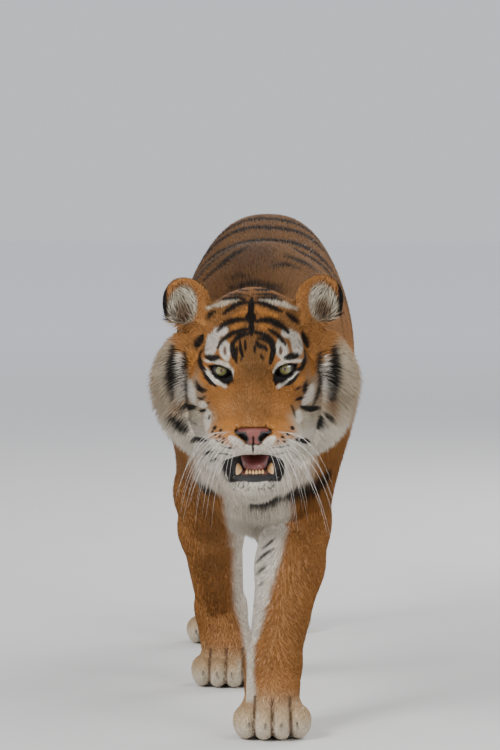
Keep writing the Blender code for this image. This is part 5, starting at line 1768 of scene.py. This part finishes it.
unwrapSkin(skinObject)
skinPoints, skinNormals = places(skinObject.data), normalsOf(skinObject.data)
lie, *furShape = coatShape(skinPoints, skinNormals)
for name, values in zip(furValues, furShape):
    addValues(skinObject.data, name, "FLOAT", "POINT", values)
addValues(skinObject.data, "furLie", "FLOAT_VECTOR", "POINT", lie)
centres = np.empty(len(skinObject.data.polygons) * 3)
skinObject.data.polygons.foreach_get("center", centres)
addValues(skinObject.data, "region", "INT", "FACE", regionOf(centres.reshape(-1, 3)))
skinColours = np.ones((len(skinPoints), 4))
skinOnHead = toHead(skinPoints)
cupShade = 1 - 0.40 * earCup(skinOnHead, (skinNormals @ headTurn.T)[:, 1]) * (skinOnHead[:, 2] > 0.05)
skinColours[:, :3] = np.clip(coatColour(skinPoints, skinNormals) * cupShade[:, None], 0, 1)
addValues(skinObject.data, "coat", "FLOAT_COLOR", "POINT", skinColours)
print("markings painted")

tree, tufts = coatTree(), {kind: tuftShape(kind) for kind in tuftRings}
total = 0
for name, (region, kind, slot, dense) in coatPieces.items():
    piece = moveIn(growCoat(name, region, kind, dense, tree, tufts[kind], hair))
    triangles = sum(len(f.vertices) - 2 for f in piece.data.polygons)
    total += triangles
    print(name, triangles, "triangles")
    dress(piece, hair, [], slot)
print("coat,", total, "triangles")
for tuft in tufts.values():
    bpy.data.objects.remove(tuft)

dress(moveIn(nosePad()), noseMaterial(), ["nose"], "nose_skin")
glass = eyeMaterial()
for side, name in ((1, "left"), (-1, "right")):
    dress(moveIn(makeEye(side, "eyeBall_" + name)), glass, ["eye_" + name], "eye")
pink = plainMaterial("tongueFlesh", ((0.30, 0.085, 0.072), (0.20, 0.056, 0.050)), 120.0, 0.30, 0.6, 0.4)
dress(moveIn(makeTongue()), pink, ["tongue"], "tongue")
# cream-yellow teeth tinted orange: their own colour with painted warm light shining through them
warmLitIvory = plainMaterial("toothWarmLitIvory", ((0.64, 0.33, 0.12), (0.73, 0.46, 0.21)), 60.0, 0.25, 0.2, 0.5)
for name, fang in teeth["fangs"].items():
    dress(moveIn(makeTeeth("fang_" + name, [fang])), warmLitIvory, ["canine_" + name], "tooth")
dress(moveIn(makeTeeth("frontTeeth", teeth["front"])), warmLitIvory, ["incisors"], "tooth")
horn = plainMaterial("clawHorn", ((0.20, 0.16, 0.12), (0.09, 0.07, 0.055)), 90.0, 0.35, 0.3, 0.2)
dress(moveIn(makeClaws()), horn, [], "tooth")
pale = plainMaterial("whiskerHair", ((0.80, 0.78, 0.72), (0.66, 0.64, 0.58)), 40.0, 0.4, 0.1)
dress(moveIn(makeWhiskers(pale)), pale, [], "coat_pale")
print("nose, eyes, mouth, claws and whiskers made")

moveIn(skinObject)
removeValues(skinObject.data, (*furValues, "furLie", "region"))
dress(skinObject, skinMaterial(), fleshNodes, "coat_orange")


# floor, light and camera
floorLook = {"half": 30, "colours": ((0.72, 0.71, 0.69), (0.69, 0.68, 0.66)), "haze": (0.93, 0.94, 0.96)}
sky = {"colour": (0.93, 0.95, 1.0, 1), "strength": 0.75}
lights = {
    "key": {"place": (-3.6, -5.2, 4.2), "aim": (0, -0.7, 0.5), "power": 385.0, "size": 2.2},
    "fill": {"place": (4.2, -4.6, 2.6), "aim": (0, -0.6, 0.5), "power": 150.0, "size": 3.0},
    "rim": {"place": (2.5, 3.6, 3.4), "aim": (0, 0.2, 0.6), "power": 150.0, "size": 2.4},
}
# the camera turns about a spot ahead of it, a little aside of the leading paw
lens = {"focal": 192.0, "sensor": 36.0, "away": 7.396, "high": 1.16, "down": math.atan(0.06375),
        "turn": math.radians(1.2), "aside": -0.041, "ahead": 7.5}


def makeFloor():
    half = floorLook["half"]
    made = newObject("floor", [(-half, -half, 0), (half, -half, 0), (half, half, 0), (-half, half, 0)],
                     [(0, 1, 2, 3)])
    material, net, shader = newMaterial("floorPale")
    place = objectPlace(net)
    far = net.vector("LENGTH", place, output="Value").eased(2.5, 14.0)
    near = net.blend(noise(net, place, 3.0), *floorLook["colours"])
    shader.give({"Base Color": net.blend(far, near, floorLook["haze"]), "Roughness": 0.8})
    made.data.materials.append(material)


def makeLight(name, place, aim, power, size):
    light = bpy.data.lights.new(name, "AREA")
    light.energy = power
    light.size = size
    made = placed(name, light)
    made.location = place
    made.rotation_euler = (Vector(aim) - Vector(place)).to_track_quat("-Z", "Y").to_euler()


def makeCamera():
    data = bpy.data.cameras.new("camera")
    data.sensor_fit = "VERTICAL"
    data.sensor_height = lens["sensor"]
    data.lens = lens["focal"]
    data.clip_end = 100
    made = placed("camera", data)
    pawFront = foreLeft["knuckles"][1] - forePaw["reach"] - forePaw["toe"][1]
    aside = foreLeft["knuckles"][0] + lens["aside"] + lens["ahead"] * math.tan(lens["turn"])
    made.location = Vector((aside, pawFront - lens["away"], lens["high"])) + Vector(shift)
    made.rotation_euler = (math.pi / 2 - lens["down"], 0, lens["turn"])
    bpy.context.scene.camera = made


world = bpy.data.worlds.new("studio")
bpy.context.scene.world = world
world.use_nodes = True
background = world.node_tree.nodes["Background"]
background.inputs["Color"].default_value = sky["colour"]
background.inputs["Strength"].default_value = sky["strength"]
makeFloor()
for name, settings in lights.items():
    makeLight(name, **settings)
makeCamera()
